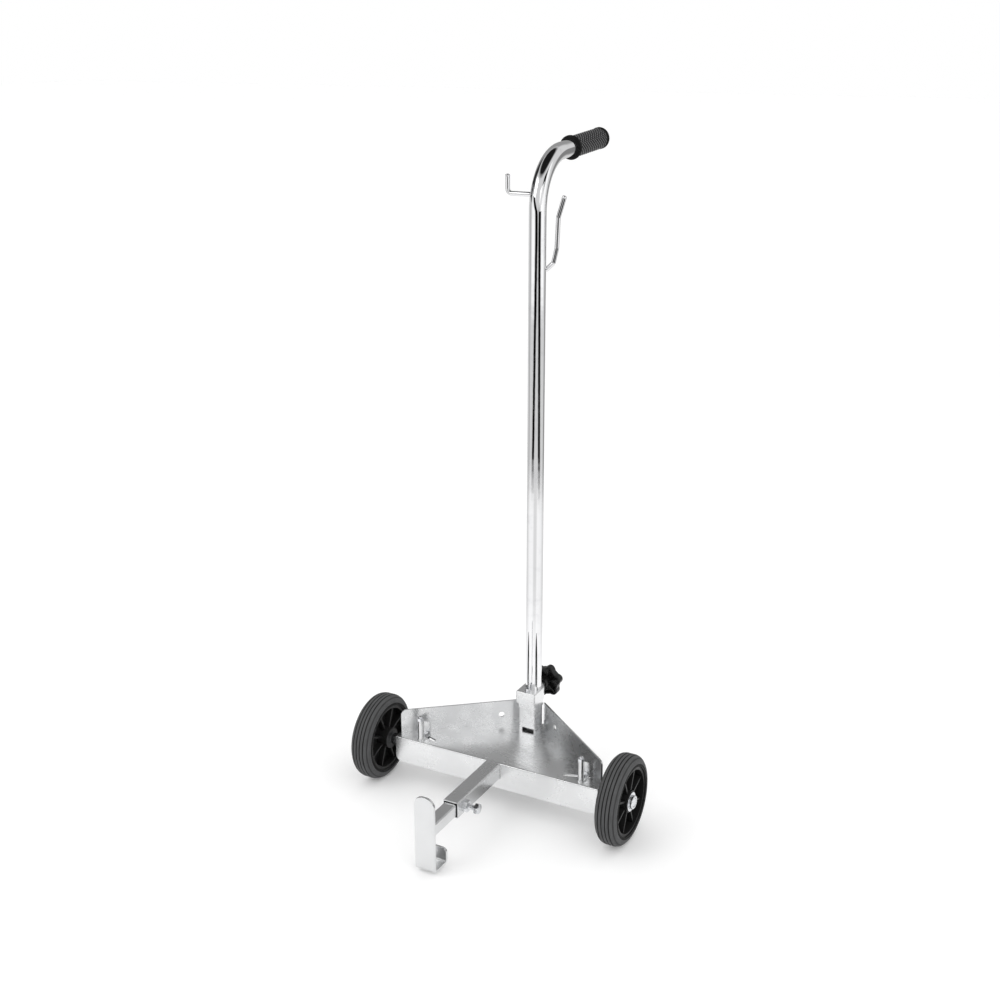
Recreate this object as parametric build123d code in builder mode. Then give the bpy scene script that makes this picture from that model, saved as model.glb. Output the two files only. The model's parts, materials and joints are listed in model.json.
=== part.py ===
from build123d import *
from math import atan2, cos, degrees, radians, sin, sqrt
import os

# Drum trolley: a three-wheeled triangular tray that a steel drum stands on, with an
# upright steering column at its apex and a telescoping arm that hooks round the drum's foot.
# Millimetres. +X is to the trolley's right, +Y is from the arm towards the column, +Z is up.
# The origin is on the floor, under the middle of the trolley's overall box.

os.makedirs("parts", exist_ok=True)

# ---------------------------------------------------------------- driving dimensions
foot_reach = 250.5  # axle line to the front face of the J foot
grip_reach = 399.0  # axle line to the end of the hand grip
axle_y = (foot_reach - grip_reach) / 2  # the overall box is centred on Y = 0

wheel_radius = 80.0
tread_width = 40.0
wheel_x = 245.0
axle_z = wheel_radius
axle_radius = 8.0
running_fit = 0.05  # radial clearance of a shaft in its bore

sheet = 3.0
floor_top = 93.5
floor_bottom = floor_top - sheet
tray_half_width = 205.0
lip_height = 50.0  # the front flange, bent down
rim_height = 45.5  # the two rear flanges, bent up
lip_y = axle_y - 12
shoulder_y = axle_y + 8
apex_y = axle_y + 160
bend_radius_outer = 2.8
hole_back, hole_height, hole_radius = 50.0, 21.0, 5.5  # the tie hole, from the rim's rear end
bolt_back, bolt_height, bolt_radius = 12.0, 13.5, 3.0  # the rim bolt, likewise
rim_run = (160.0, 130.6)  # X and Y run of a rear flange, from its shoulder to near the post
rim_angle = degrees(atan2(rim_run[1], rim_run[0]))

tube_radius = 15.0
column_y = axle_y + 149
socket_radius = 16.6
socket_front = 28.0  # column axis to the flat front of the socket
band_bottom, collar_bottom, collar_top = 138.0, 151.0, 174.0
column_straight_top = 1048.0
bend_radius = 93.0
handle_rise = 4.0  # degrees by which the handle climbs towards its end
clamp_z = 162.5

sleeve_size = 30.0
sleeve_wall = 2.0
sleeve_end_y = axle_y - 164
arm_size = 23.0
arm_wall = 2.0
arm_z = floor_top - sleeve_size / 2
foot_front_y = axle_y - foot_reach
foot_sheet = 5.0
foot_width = 38.0
arm_clamp_y = axle_y - 142
arm_clamp_z = arm_z

slot_angle = 18.0  # each floor slot points towards the middle of the drum
slot_start = (134.0, axle_y + 8)
slot_length = 42.0
slot_width = 7.4
# where each stop's screw stands along its slot, from the inner end: the two are set by hand
stop_along = {"left": 24.0, "right": 34.0}

castor_y = axle_y + 126
castor_trail = 26.0
castor_radius = 32.5
castor_width = 24.0


def save(part, label):
    """Labels one finished piece and writes its file."""
    part.label = label
    export_step(part, f"parts/{label}.step")


# ---------------------------------------------------------------- tray
with BuildPart() as tray:
    with BuildSketch(Plane.XY.offset(floor_bottom)):
        with BuildLine():
            half_apex = tray_half_width - (apex_y - shoulder_y) * rim_run[0] / rim_run[1]
            Polyline(
                (-tray_half_width, lip_y),
                (tray_half_width, lip_y),
                (tray_half_width, shoulder_y),
                (half_apex, apex_y),
                (-half_apex, apex_y),
                (-tray_half_width, shoulder_y),
                close=True,
            )
        make_face()
    extrude(amount=sheet)
    # front lip, bent down, with rounded lower corners
    lip_plane = Plane(origin=(0, lip_y, floor_top), x_dir=(1, 0, 0), z_dir=(0, -1, 0))
    with BuildSketch(lip_plane) as lip_outline:
        Rectangle(2 * tray_half_width, lip_height, align=(Align.CENTER, Align.MAX))
        fillet(lip_outline.vertices().group_by(Axis.Y)[0], 13)
    extrude(amount=-sheet)
    # rear rims, bent up, each with a rounded front corner and two holes
    rim_length = (half_apex - tray_half_width) / -cos(radians(rim_angle))
    for side in (1, -1):
        along = Vector(-side * cos(radians(rim_angle)), sin(radians(rim_angle)), 0)
        inward = Vector(-side * sin(radians(rim_angle)), -cos(radians(rim_angle)), 0)
        rim_plane = Plane(
            origin=(side * tray_half_width, shoulder_y, floor_bottom), x_dir=along, z_dir=inward
        )
        up = 1 if rim_plane.y_dir.Z > 0 else -1
        with BuildSketch(rim_plane) as rim_outline:
            with BuildLine():
                top = up * (rim_height + sheet)
                Polyline((0, 0), (rim_length, 0), (rim_length, top), (0, top), close=True)
            make_face()
            fillet(rim_outline.vertices().sort_by_distance((0, top, 0))[0], 10)
            with Locations((rim_length - bolt_back, up * bolt_height)):
                Circle(bolt_radius, mode=Mode.SUBTRACT)
            with Locations((rim_length - hole_back, up * hole_height)):
                Circle(hole_radius, mode=Mode.SUBTRACT)
        extrude(amount=sheet)
    # bends: a soft outer radius and a tight inner one
    bends = tray.edges().filter_by(GeomType.LINE).filter_by(lambda e: e.length > 150)
    lip_bend = [e for e in bends if abs(e.center().Z - floor_top) < 0.01 and e.center().Y < axle_y]
    fillet(lip_bend, bend_radius_outer)
    rim_bends = [
        e for e in bends if abs(e.center().Z - floor_bottom) < 0.01 and e.center().Y > shoulder_y + 40
    ]
    fillet(rim_bends, bend_radius_outer)
    # floor slots for the drum stops, the lightening hole by the lip, and the castor's bolt
    for side in (1, -1):
        middle = slot_length / 2
        slot_x = side * (slot_start[0] + middle * cos(radians(slot_angle)))
        slot_y = slot_start[1] + middle * sin(radians(slot_angle))
        with BuildSketch(Plane.XY.offset(floor_bottom)):
            with Locations(Location((slot_x, slot_y), side * slot_angle)):
                SlotOverall(slot_length + slot_width, slot_width)
        extrude(amount=sheet, mode=Mode.SUBTRACT)
    with Locations((-19, axle_y - 2, floor_top), (19, axle_y - 2, floor_top)):
        Hole(3.0, depth=sheet)
save(tray.part, "tray_plate")

# ---------------------------------------------------------------- arm sleeve and its clamp
with BuildPart() as arm_sleeve:
    sleeve_plane = Plane(origin=(0, lip_y, arm_z), x_dir=(1, 0, 0), z_dir=(0, -1, 0))
    with BuildSketch(sleeve_plane):
        RectangleRounded(sleeve_size, sleeve_size, 3.0)
        RectangleRounded(
            sleeve_size - 2 * sleeve_wall, sleeve_size - 2 * sleeve_wall, 1.2, mode=Mode.SUBTRACT
        )
    extrude(amount=lip_y - sleeve_end_y)
    # the clamp screw's hole through the right wall
    with Locations(Location((sleeve_size / 2, arm_clamp_y, arm_clamp_z), (0, 90, 0))):
        Hole(5.2, depth=sleeve_wall + 1)
    # a small vent hole in the left wall
    with Locations(Location((-sleeve_size / 2, arm_clamp_y, arm_clamp_z), (0, -90, 0))):
        Hole(2.5, depth=sleeve_wall + 1)
save(arm_sleeve.part, "arm_sleeve")

nut_across = 19.0
nut_height = 9.0
stud_radius = 4.95
with BuildPart() as arm_nut:
    nut_plane = Plane(
        origin=(sleeve_size / 2, arm_clamp_y, arm_clamp_z), x_dir=(0, 1, 0), z_dir=(1, 0, 0)
    )
    with BuildSketch(nut_plane):
        RegularPolygon(nut_across / 2, 6, major_radius=False)
        Circle(stud_radius + running_fit, mode=Mode.SUBTRACT)
    extrude(amount=nut_height)
    chamfer(arm_nut.faces().sort_by(Axis.X)[-1].outer_wire().edges(), 0.8)
save(arm_nut.part, "arm_nut")

# ---------------------------------------------------------------- telescoping arm
arm_front_y = foot_front_y + foot_sheet
arm_back_y = axle_y - 64
with BuildPart() as arm_tube:
    arm_plane = Plane(origin=(0, arm_front_y, arm_z), x_dir=(-1, 0, 0), z_dir=(0, 1, 0))
    with BuildSketch(arm_plane):
        RectangleRounded(arm_size, arm_size, 2.4)
        RectangleRounded(arm_size - 2 * arm_wall, arm_size - 2 * arm_wall, 1.0, mode=Mode.SUBTRACT)
    extrude(amount=arm_back_y - arm_front_y)
save(arm_tube.part, "arm_tube")

plug_depth = 12.0
with BuildPart() as arm_plug:
    with BuildSketch(Plane(origin=(0, arm_back_y, arm_z), x_dir=(-1, 0, 0), z_dir=(0, 1, 0))):
        RectangleRounded(arm_size, arm_size, 2.4)
    extrude(amount=3)
    with BuildSketch(Plane(origin=(0, arm_back_y, arm_z), x_dir=(1, 0, 0), z_dir=(0, -1, 0))):
        RectangleRounded(arm_size - 2 * arm_wall, arm_size - 2 * arm_wall, 1.0)
    extrude(amount=plug_depth)
save(arm_plug.part, "arm_plug")

foot_top = 145.0
foot_bottom = 5.0
hook_return = 43.0
hook_lip_top = 33.5
hook_bend = 9.0
with BuildPart() as j_foot:
    with BuildSketch(Plane.YZ.offset(-foot_width / 2)):
        with BuildLine():
            toe_y = foot_front_y + hook_return
            outline = Polyline(
                (foot_front_y, foot_top),
                (foot_front_y, foot_bottom),
                (toe_y, foot_bottom),
                (toe_y, hook_lip_top),
                (toe_y - foot_sheet, hook_lip_top),
                (toe_y - foot_sheet, foot_bottom + foot_sheet),
                (foot_front_y + foot_sheet, foot_bottom + foot_sheet),
                (foot_front_y + foot_sheet, foot_top),
                close=True,
            )
        make_face()
    extrude(amount=foot_width)
    lower = j_foot.edges().filter_by(Axis.X)
    fillet([e for e in lower if abs(e.center().Z - foot_bottom) < 0.01], hook_bend)
    lower = j_foot.edges().filter_by(Axis.X)
    fillet(
        [e for e in lower if abs(e.center().Z - foot_bottom - foot_sheet) < 0.01],
        hook_bend - foot_sheet,
    )
    upright = j_foot.edges().filter_by(Axis.Y)
    fillet([e for e in upright if abs(e.center().Z - foot_top) < 0.01], foot_width / 2 - 3)
    upright = j_foot.edges().filter_by(Axis.Y)
    fillet([e for e in upright if abs(e.center().Z - hook_lip_top) < 0.01], 9)
save(j_foot.part, "j_foot")

screw_reach = 22.0
screw_head_height = 7.0
with BuildPart() as arm_screw:
    screw_start = Plane(
        origin=(arm_size / 2 + 3.2, arm_clamp_y, arm_clamp_z), x_dir=(0, 1, 0), z_dir=(1, 0, 0)
    )
    with BuildSketch(screw_start):
        Circle(stud_radius)
    extrude(amount=screw_reach)
    with BuildSketch(screw_start.offset(screw_reach)):
        RegularPolygon(8.5, 6, major_radius=False)
    extrude(amount=screw_head_height)
    chamfer(arm_screw.faces().sort_by(Axis.X)[-1].outer_wire().edges(), 0.8)
save(arm_screw.part, "arm_clamp_screw")

with BuildPart() as arm_pad:
    with BuildSketch(screw_start):
        Circle(4.0)
    extrude(amount=-2.6)
save(arm_pad.part, "arm_clamp_pad")

# ---------------------------------------------------------------- stub axles, brackets, spacers
bracket_width = 25.0
bracket_depth = 26.0
axle_inner_x = tray_half_width - bracket_width
axle_outer_x = wheel_x + tread_width / 2 + 4
hub_inner_x = wheel_x - 24.0
hub_outer_x = wheel_x + 17.0
hub_gap = 0.4
washer_thickness = 1.6
for side, name in ((-1, "left"), (1, "right")):
    with BuildPart() as axle:
        with BuildSketch(Plane.YZ.offset(side * axle_inner_x)):
            with Locations((axle_y, axle_z)):
                Circle(axle_radius)
        extrude(amount=side * (axle_outer_x - axle_inner_x))
        chamfer(axle.edges().filter_by(GeomType.CIRCLE), 1.0)
    save(axle.part, f"axle_{name}")

    with BuildPart() as bracket:
        with BuildSketch(Plane.YZ.offset(side * axle_inner_x)) as block:
            with Locations((lip_y + sheet, floor_bottom)):
                Rectangle(bracket_depth, floor_bottom - axle_z + 14, align=(Align.MIN, Align.MAX))
            fillet(block.vertices().group_by(Axis.Y)[0].sort_by(Axis.X)[-1], 8)
            with Locations((axle_y, axle_z)):
                Circle(axle_radius, mode=Mode.SUBTRACT)
        extrude(amount=side * bracket_width)
    save(bracket.part, f"axle_bracket_{name}")

    with BuildPart() as spacer:
        with BuildSketch(Plane.YZ.offset(side * tray_half_width)):
            with Locations((axle_y, axle_z)):
                Circle(11)
                Circle(axle_radius, mode=Mode.SUBTRACT)
        extrude(amount=side * (hub_inner_x - hub_gap - tray_half_width))
    save(spacer.part, f"axle_spacer_{name}")

    with BuildPart() as washer:
        with BuildSketch(Plane.YZ.offset(side * (hub_outer_x + hub_gap))):
            with Locations((axle_y, axle_z)):
                Circle(17)
                Circle(axle_radius, mode=Mode.SUBTRACT)
        extrude(amount=side * washer_thickness)
    save(washer.part, f"axle_washer_{name}")

    with BuildPart() as cap:
        with BuildSketch(Plane.YZ.offset(side * (hub_outer_x + hub_gap + washer_thickness))):
            with Locations((axle_y, axle_z)):
                Circle(12)
                Circle(axle_radius, mode=Mode.SUBTRACT)
        extrude(amount=side * 5.5)
        rim_face = cap.faces().sort_by(Axis.X)[-1 if side > 0 else 0]
        fillet(rim_face.outer_wire().edges(), 2.0)
    save(cap.part, f"axle_cap_{name}")

# ---------------------------------------------------------------- wheels
rim_radius = 61.0
groove_depth = 1.6
groove_width = 2.2
rib_count = 8
for side, name in ((-1, "left"), (1, "right")):
    centre = Location((side * wheel_x, axle_y, axle_z), (0, side * 90, 0))
    wheel_plane = Plane(centre)
    profile_plane = Plane(origin=centre.position, x_dir=wheel_plane.x_dir, z_dir=wheel_plane.y_dir)
    spin_axis = Axis(centre.position, wheel_plane.z_dir)
    with BuildPart() as tyre:
        with BuildSketch(profile_plane) as tyre_section:
            with Locations((rim_radius, 0)):
                Rectangle(wheel_radius - rim_radius, tread_width, align=(Align.MIN, Align.CENTER))
            fillet(tyre_section.vertices().sort_by(Axis.X)[-2:], 14)
            with Locations([(wheel_radius, k * 6.6) for k in (-1.5, -0.5, 0.5, 1.5)]):
                Rectangle(2 * groove_depth, groove_width, mode=Mode.SUBTRACT)
        revolve(axis=spin_axis)
    save(tyre.part, f"tyre_{name}")

    with BuildPart() as rim:
        with BuildSketch(wheel_plane.offset(-18)):
            Circle(rim_radius)
            Circle(rim_radius - 5, mode=Mode.SUBTRACT)
        extrude(amount=36)
        with BuildSketch(wheel_plane.offset(-3)):
            Circle(rim_radius - 4)
        extrude(amount=6)
        with BuildSketch(wheel_plane.offset(hub_inner_x - wheel_x)):
            Circle(19)
        extrude(amount=hub_outer_x - hub_inner_x)
        with BuildSketch(wheel_plane.offset(-14)):
            with PolarLocations(37, rib_count, start_angle=22.5):
                Rectangle(40, 3.2)
        extrude(amount=28)
        with Locations(centre):
            Cylinder(12, 60, mode=Mode.SUBTRACT)
    save(rim.part, f"wheel_rim_{name}")

    with BuildPart() as bush:
        with BuildSketch(wheel_plane.offset(hub_inner_x - wheel_x)):
            Circle(12)
            Circle(axle_radius + running_fit, mode=Mode.SUBTRACT)
        extrude(amount=hub_outer_x - hub_inner_x)
    save(bush.part, f"wheel_bush_{name}")


# ---------------------------------------------------------------- column socket
def keyhole_section(radius, front):
    """The socket's outline: a flat front, straight sides and a round back about the column."""
    with BuildLine() as outline:
        Polyline((-radius, 0), (-radius, -front), (radius, -front), (radius, 0))
        ThreePointArc((radius, 0), (0, radius), (-radius, 0))
    make_face(outline.edges())


socket_plane = Plane(origin=(0, column_y, 0))
with BuildPart() as post:
    with BuildSketch(socket_plane.offset(floor_top)) as post_section:
        keyhole_section(socket_radius, socket_front)
        fillet(post_section.vertices().group_by(Axis.Y)[0], 2.0)
        Circle(tube_radius + running_fit, mode=Mode.SUBTRACT)
        with Locations((0, -socket_front + 6.5)):
            Rectangle(2 * socket_radius - 5, 8, mode=Mode.SUBTRACT)
    extrude(amount=band_bottom - floor_top)
    # a notch at the foot of the flat front
    notch_plane = Plane(
        origin=(2.5, column_y - socket_front, floor_top), x_dir=(1, 0, 0), z_dir=(0, -1, 0)
    )
    with BuildSketch(notch_plane):
        Rectangle(24, 12)
    extrude(amount=-4, mode=Mode.SUBTRACT)
save(post.part, "post")

with BuildPart() as band:
    with BuildSketch(socket_plane.offset(band_bottom)) as band_section:
        keyhole_section(socket_radius + 1.6, socket_front + 1.6)
        fillet(band_section.vertices().group_by(Axis.Y)[0], 2.5)
        Circle(tube_radius + running_fit, mode=Mode.SUBTRACT)
    extrude(amount=collar_bottom - band_bottom)
save(band.part, "post_band")

collar_radius = 19.8
collar_front = 35.0
screw_y = -25.0
screw_head = 6.5
with BuildPart() as collar:
    with BuildSketch(socket_plane.offset(collar_bottom)) as collar_section:
        keyhole_section(collar_radius, collar_front)
        fillet(collar_section.vertices().group_by(Axis.Y)[0], 2.5)
        Circle(tube_radius + running_fit, mode=Mode.SUBTRACT)
        with Locations((0, screw_y)):
            Circle(3.0, mode=Mode.SUBTRACT)
    extrude(amount=collar_top - collar_bottom)
    chamfer(collar.faces().sort_by(Axis.Z)[-1].outer_wire().edges(), 1.0)
    # the clamp stud's hole through the round back
    with BuildSketch(Plane(origin=(0, column_y, clamp_z), z_dir=(0, 1, 0))):
        Circle(5.2)
    extrude(amount=collar_radius + 2, mode=Mode.SUBTRACT)
save(collar.part, "post_collar")

with BuildPart() as collar_screw:
    with BuildSketch(socket_plane.offset(collar_bottom)):
        with Locations((0, screw_y)):
            Circle(3.0)
    extrude(amount=collar_top - collar_bottom)
    with BuildSketch(socket_plane.offset(collar_top)):
        with Locations((0, screw_y)):
            Circle(4.8)
    extrude(amount=screw_head)
    fillet(collar_screw.faces().sort_by(Axis.Z)[-1].outer_wire().edges(), 0.8)
    with BuildSketch(socket_plane.offset(collar_top + screw_head)):
        with Locations((0, screw_y)):
            RegularPolygon(2.9, 6)
    extrude(amount=-4, mode=Mode.SUBTRACT)
save(collar_screw.part, "collar_screw")

# ---------------------------------------------------------------- column clamp
knob_nut_y = column_y + collar_radius - 2.2
knob_nut_length = 12.0
with BuildPart() as knob_nut:
    with BuildSketch(Plane(origin=(0, knob_nut_y, clamp_z), z_dir=(0, 1, 0))):
        RegularPolygon(8.5, 6, major_radius=False)
        Circle(stud_radius + running_fit, mode=Mode.SUBTRACT)
    extrude(amount=knob_nut_length)
    # its base is scooped to sit on the collar's round back
    with BuildSketch(Plane(origin=(0, column_y, collar_bottom))):
        Circle(collar_radius)
    extrude(amount=collar_top - collar_bottom, mode=Mode.SUBTRACT)
save(knob_nut.part, "knob_nut")

pad_y = column_y + tube_radius + 0.4
knob_hub_y = knob_nut_y + knob_nut_length + 5
with BuildPart() as clamp_pad:
    with BuildSketch(Plane(origin=(0, pad_y - 1.6, clamp_z), z_dir=(0, 1, 0))):
        Circle(3.6)
    extrude(amount=3.2)
save(clamp_pad.part, "clamp_pad")

hub_length = 13.5
knob_depth = 16.0
knob_lobes = 6
knob_turn = -15.0  # the first lobe, from +X, at rest
lobe_reach = 23.0
lobe_radius = 8.5
pocket_depth = 8.0
knob_bore_depth = hub_length + 6
with BuildPart() as clamp_stud:
    with BuildSketch(Plane(origin=(0, pad_y + 1.6, clamp_z), z_dir=(0, 1, 0))):
        Circle(stud_radius)
    extrude(amount=knob_hub_y - pad_y - 1.6 + knob_bore_depth)
save(clamp_stud.part, "clamp_stud")

hub_plane = Plane(origin=(0, knob_hub_y, clamp_z), x_dir=(1, 0, 0), z_dir=(0, 1, 0))
star_plane = hub_plane.offset(hub_length)


def star_outline(shrink):
    """The knob's outline: a disc with six round lobes, drawn smaller by shrink."""
    Circle(26.0 - shrink)
    with PolarLocations(lobe_reach, knob_lobes, start_angle=knob_turn):
        Circle(lobe_radius - shrink)


with BuildPart() as knob:
    with BuildSketch(hub_plane):
        Circle(10)
    extrude(amount=hub_length)
    with BuildSketch(star_plane) as star:
        star_outline(0)
        fillet(star.vertices(), 4.0)
    extrude(amount=knob_depth)
    knob_back = knob.faces().sort_by(Axis.Y)[-1]
    fillet(knob_back.outer_wire().edges(), 3.0)
    # the side towards the collar is hollow between the hub and the rim, with a rib to each lobe
    with BuildSketch(star_plane):
        star_outline(3.0)
        Circle(10, mode=Mode.SUBTRACT)
        with PolarLocations(lobe_reach / 2, knob_lobes, start_angle=knob_turn):
            Rectangle(lobe_reach * 2, 2.4, mode=Mode.SUBTRACT)
    extrude(amount=pocket_depth, mode=Mode.SUBTRACT)
    with BuildSketch(hub_plane):
        Circle(stud_radius)
    extrude(amount=knob_bore_depth, mode=Mode.SUBTRACT)
save(knob.part, "clamp_knob")

# ---------------------------------------------------------------- column
column_bottom = floor_top
rise = radians(handle_rise)
handle_dir = Vector(0, cos(rise), sin(rise))
handle_start = Vector(
    0,
    column_y + bend_radius * (1 - sin(rise)),
    column_straight_top + bend_radius * cos(rise),
)
end_bead = 1.6
grip_radius = 17.6
flange_radius = 21.0
# distances along the handle, from the end of the bend
grip_start = (axle_y + 271 - handle_start.Y) / cos(rise)
grip_end = (axle_y + grip_reach - (grip_radius + end_bead) * sin(rise) - handle_start.Y) / cos(rise)
tube_end = grip_end - 6
tube_wall = 2.0
with BuildPart() as column:
    with BuildLine(Plane.YZ) as column_path:
        Line((column_y, column_bottom + 3), (column_y, column_straight_top))
        CenterArc(
            (column_y + bend_radius, column_straight_top), bend_radius, 180, handle_rise - 90
        )
        tube_tip = handle_start + handle_dir * tube_end
        Line((handle_start.Y, handle_start.Z), (tube_tip.Y, tube_tip.Z))
    with BuildSketch(Plane(origin=(0, column_y, column_bottom + 3))):
        Circle(tube_radius)
        Circle(tube_radius - tube_wall, mode=Mode.SUBTRACT)
    sweep(path=column_path.wire())
    # the keyway that the clamp's pad runs in, open at the bottom, up to just above the pad
    keyway_top = clamp_z + 5
    keyway_length = keyway_top - column_bottom
    keyway_plane = Plane(origin=(0, column_y, column_bottom), x_dir=(-1, 0, 0), z_dir=(0, 1, 0))
    with BuildSketch(keyway_plane):
        with Locations((0, keyway_length / 2)):
            Rectangle(8.4, keyway_length)
    extrude(amount=tube_radius + 2, mode=Mode.SUBTRACT)
save(column.part, "column_tube")

with BuildPart() as column_plug:
    with BuildSketch(Plane(origin=(0, column_y, column_bottom))):
        Circle(tube_radius)
        with Locations((0, tube_radius)):
            Rectangle(8.4, 8, mode=Mode.SUBTRACT)
    extrude(amount=3)
    with BuildSketch(Plane(origin=(0, column_y, column_bottom + 3))):
        Circle(tube_radius - tube_wall)
        with Locations((0, tube_radius)):
            Rectangle(8.4, 8, mode=Mode.SUBTRACT)
    extrude(amount=12)
save(column_plug.part, "column_plug")

handle_plane = Plane(origin=handle_start, x_dir=handle_dir, z_dir=(1, 0, 0))
with BuildPart() as grip:
    with BuildSketch(handle_plane):
        with BuildLine():
            Polyline(
                (grip_start, tube_radius),
                (grip_start, flange_radius),
                (grip_start + 5, flange_radius),
                (grip_start + 5, grip_radius),
                (grip_end - 9, grip_radius),
                (grip_end - 6, grip_radius + end_bead),
                (grip_end, grip_radius + end_bead),
                (grip_end, 0),
                (tube_end, 0),
                (tube_end, tube_radius),
                close=True,
            )
        make_face()
    revolve(axis=Axis(handle_start, handle_dir))
    ends = grip.edges().filter_by(GeomType.CIRCLE)
    fillet([e for e in ends if abs(e.radius - grip_radius - end_bead) < 0.01], 2.4)
    rims = grip.edges().filter_by(GeomType.CIRCLE)
    fillet([e for e in rims if abs(e.radius - flange_radius) < 0.01], 1.8)
save(grip.part, "hand_grip")

# the two cable hooks, bent from rod and welded to the column
hook_radius = 4.0
left_hook_z = 1075.0
left_hook_x = -59.0
left_hook_rise = 32.0
# the column has begun to bend back where this hook is welded on
left_hook_y = column_y + bend_radius - sqrt(bend_radius**2 - (left_hook_z - column_straight_top) ** 2)
with BuildPart() as left_hook:
    hook_root = (-tube_radius + 1, left_hook_y, left_hook_z)
    with BuildLine() as left_path:
        FilletPolyline(
            hook_root,
            (left_hook_x, left_hook_y, left_hook_z),
            (left_hook_x, left_hook_y, left_hook_z + left_hook_rise),
            radius=8,
        )
    with BuildSketch(Plane(origin=hook_root, z_dir=(-1, 0, 0))):
        Circle(hook_radius)
    sweep(path=left_path.wire())
    add(column.part, mode=Mode.SUBTRACT)
save(left_hook.part, "hook_left")

right_hook_turn = 30.0
right_hook_rise = ((12.0, 948.0), (27.0, 962.0), (32.5, 987.0), (34.5, 1038.0), (45.0, 1074.0))
with BuildPart() as right_hook:
    outward = Vector(cos(radians(right_hook_turn)), sin(radians(right_hook_turn)), 0)
    hook_points = [Vector(0, column_y, z) + outward * r for r, z in right_hook_rise]
    with BuildLine() as right_path:
        FilletPolyline(*hook_points, radius=8)
    with BuildSketch(Plane(origin=hook_points[0], z_dir=hook_points[1] - hook_points[0])):
        Circle(hook_radius)
    sweep(path=right_path.wire())
    with BuildSketch(Plane(origin=(0, column_y, right_hook_rise[0][1] - 15))):
        Circle(tube_radius)
    extrude(amount=60, mode=Mode.SUBTRACT)
save(right_hook.part, "hook_right")

# ---------------------------------------------------------------- drum stops
# one part, used the same way round in both slots: a foot under the screw, a round post ahead
# of it that the drum leans on, and a low upright plate behind it
stop_half_width = 7.0
stop_sheet = 2.5
stop_post_ahead = 16.0  # the screw's axis to the post's axis
stop_post_radius = 5.5
stop_post_height = 38.0
stop_plate_height = 26.0
stop_plate_front, stop_plate_back = 5.5, 7.5
stud_r = 3.0
head_half = 4.8  # half the hexagon's width across flats
for side, name in ((-1, "left"), (1, "right")):
    slot_x = side * (slot_start[0] + stop_along[name] * cos(radians(slot_angle)))
    slot_y = slot_start[1] + stop_along[name] * sin(radians(slot_angle))
    stop_plane = Plane(origin=(slot_x, slot_y, floor_top))
    foot_front = -stop_post_ahead - stop_post_radius
    with BuildPart() as stop:
        with BuildSketch(stop_plane) as foot_section:
            with Locations((0, foot_front)):
                Rectangle(
                    2 * stop_half_width,
                    stop_plate_back - foot_front,
                    align=(Align.CENTER, Align.MIN),
                )
            fillet(foot_section.vertices().group_by(Axis.Y)[0], stop_post_radius)
            Circle(stud_r + 0.2, mode=Mode.SUBTRACT)
        extrude(amount=stop_sheet)
        with BuildSketch(stop_plane):
            with Locations((0, -stop_post_ahead)):
                Circle(stop_post_radius)
        extrude(amount=stop_post_height)
        with BuildSketch(stop_plane):
            with Locations((0, stop_plate_front)):
                Rectangle(
                    2 * stop_half_width - 1,
                    stop_plate_back - stop_plate_front,
                    align=(Align.CENTER, Align.MIN),
                )
        extrude(amount=stop_plate_height)
    save(stop.part, f"drum_stop_{name}")

    with BuildPart() as stop_cap:
        with BuildSketch(stop_plane.offset(stop_post_height)):
            with Locations((0, -stop_post_ahead)):
                RegularPolygon(5.5, 6, major_radius=False)
        extrude(amount=6)
        with BuildSketch(stop_plane.offset(stop_post_height + 6)):
            with Locations((0, -stop_post_ahead)):
                Circle(3.6)
        extrude(amount=4)
        fillet(stop_cap.faces().sort_by(Axis.Z)[-1].outer_wire().edges(), 2.0)
    save(stop_cap.part, f"stop_cap_{name}")

    with BuildPart() as stop_screw:
        with BuildSketch(stop_plane.offset(stop_sheet)):
            RegularPolygon(head_half, 6, major_radius=False)
        extrude(amount=4)
        with BuildSketch(stop_plane.offset(stop_sheet)):
            Circle(2.9)
        extrude(amount=-15)
    save(stop_screw.part, f"stop_screw_{name}")

    with BuildPart() as stop_nut:
        with BuildSketch(stop_plane.offset(-sheet)):
            Circle(8)
            Circle(2.9, mode=Mode.SUBTRACT)
        extrude(amount=-1.5)
        with BuildSketch(stop_plane.offset(-sheet - 1.5)):
            RegularPolygon(5, 6, major_radius=False)
            Circle(2.9, mode=Mode.SUBTRACT)
        extrude(amount=-5)
    save(stop_nut.part, f"stop_nut_{name}")

# ---------------------------------------------------------------- rim bolts beside the post
for side, name in ((-1, "left"), (1, "right")):
    inward = Vector(-side * sin(radians(rim_angle)), -cos(radians(rim_angle)), 0)
    along = Vector(-side * cos(radians(rim_angle)), sin(radians(rim_angle)), 0)
    shoulder = Vector(side * tray_half_width, shoulder_y, floor_bottom)
    bolt_centre = shoulder + along * (rim_length - bolt_back) + Vector(0, 0, bolt_height)
    with BuildPart() as rim_bolt:
        with BuildSketch(Plane(origin=bolt_centre, z_dir=inward)):
            Circle(bolt_radius)
        extrude(amount=sheet)
        with BuildSketch(Plane(origin=bolt_centre + inward * sheet, z_dir=inward)):
            Circle(5)
        extrude(amount=2.2)
        with BuildSketch(Plane(origin=bolt_centre, z_dir=-inward)):
            RegularPolygon(5, 6, major_radius=False)
        extrude(amount=4)
    save(rim_bolt.part, f"rim_bolt_{name}")
    hole_centre = shoulder + along * (rim_length - hole_back) + Vector(0, 0, hole_height)
    print("tie hole", name, hole_centre + inward * sheet / 2, "outward", -inward)

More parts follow.
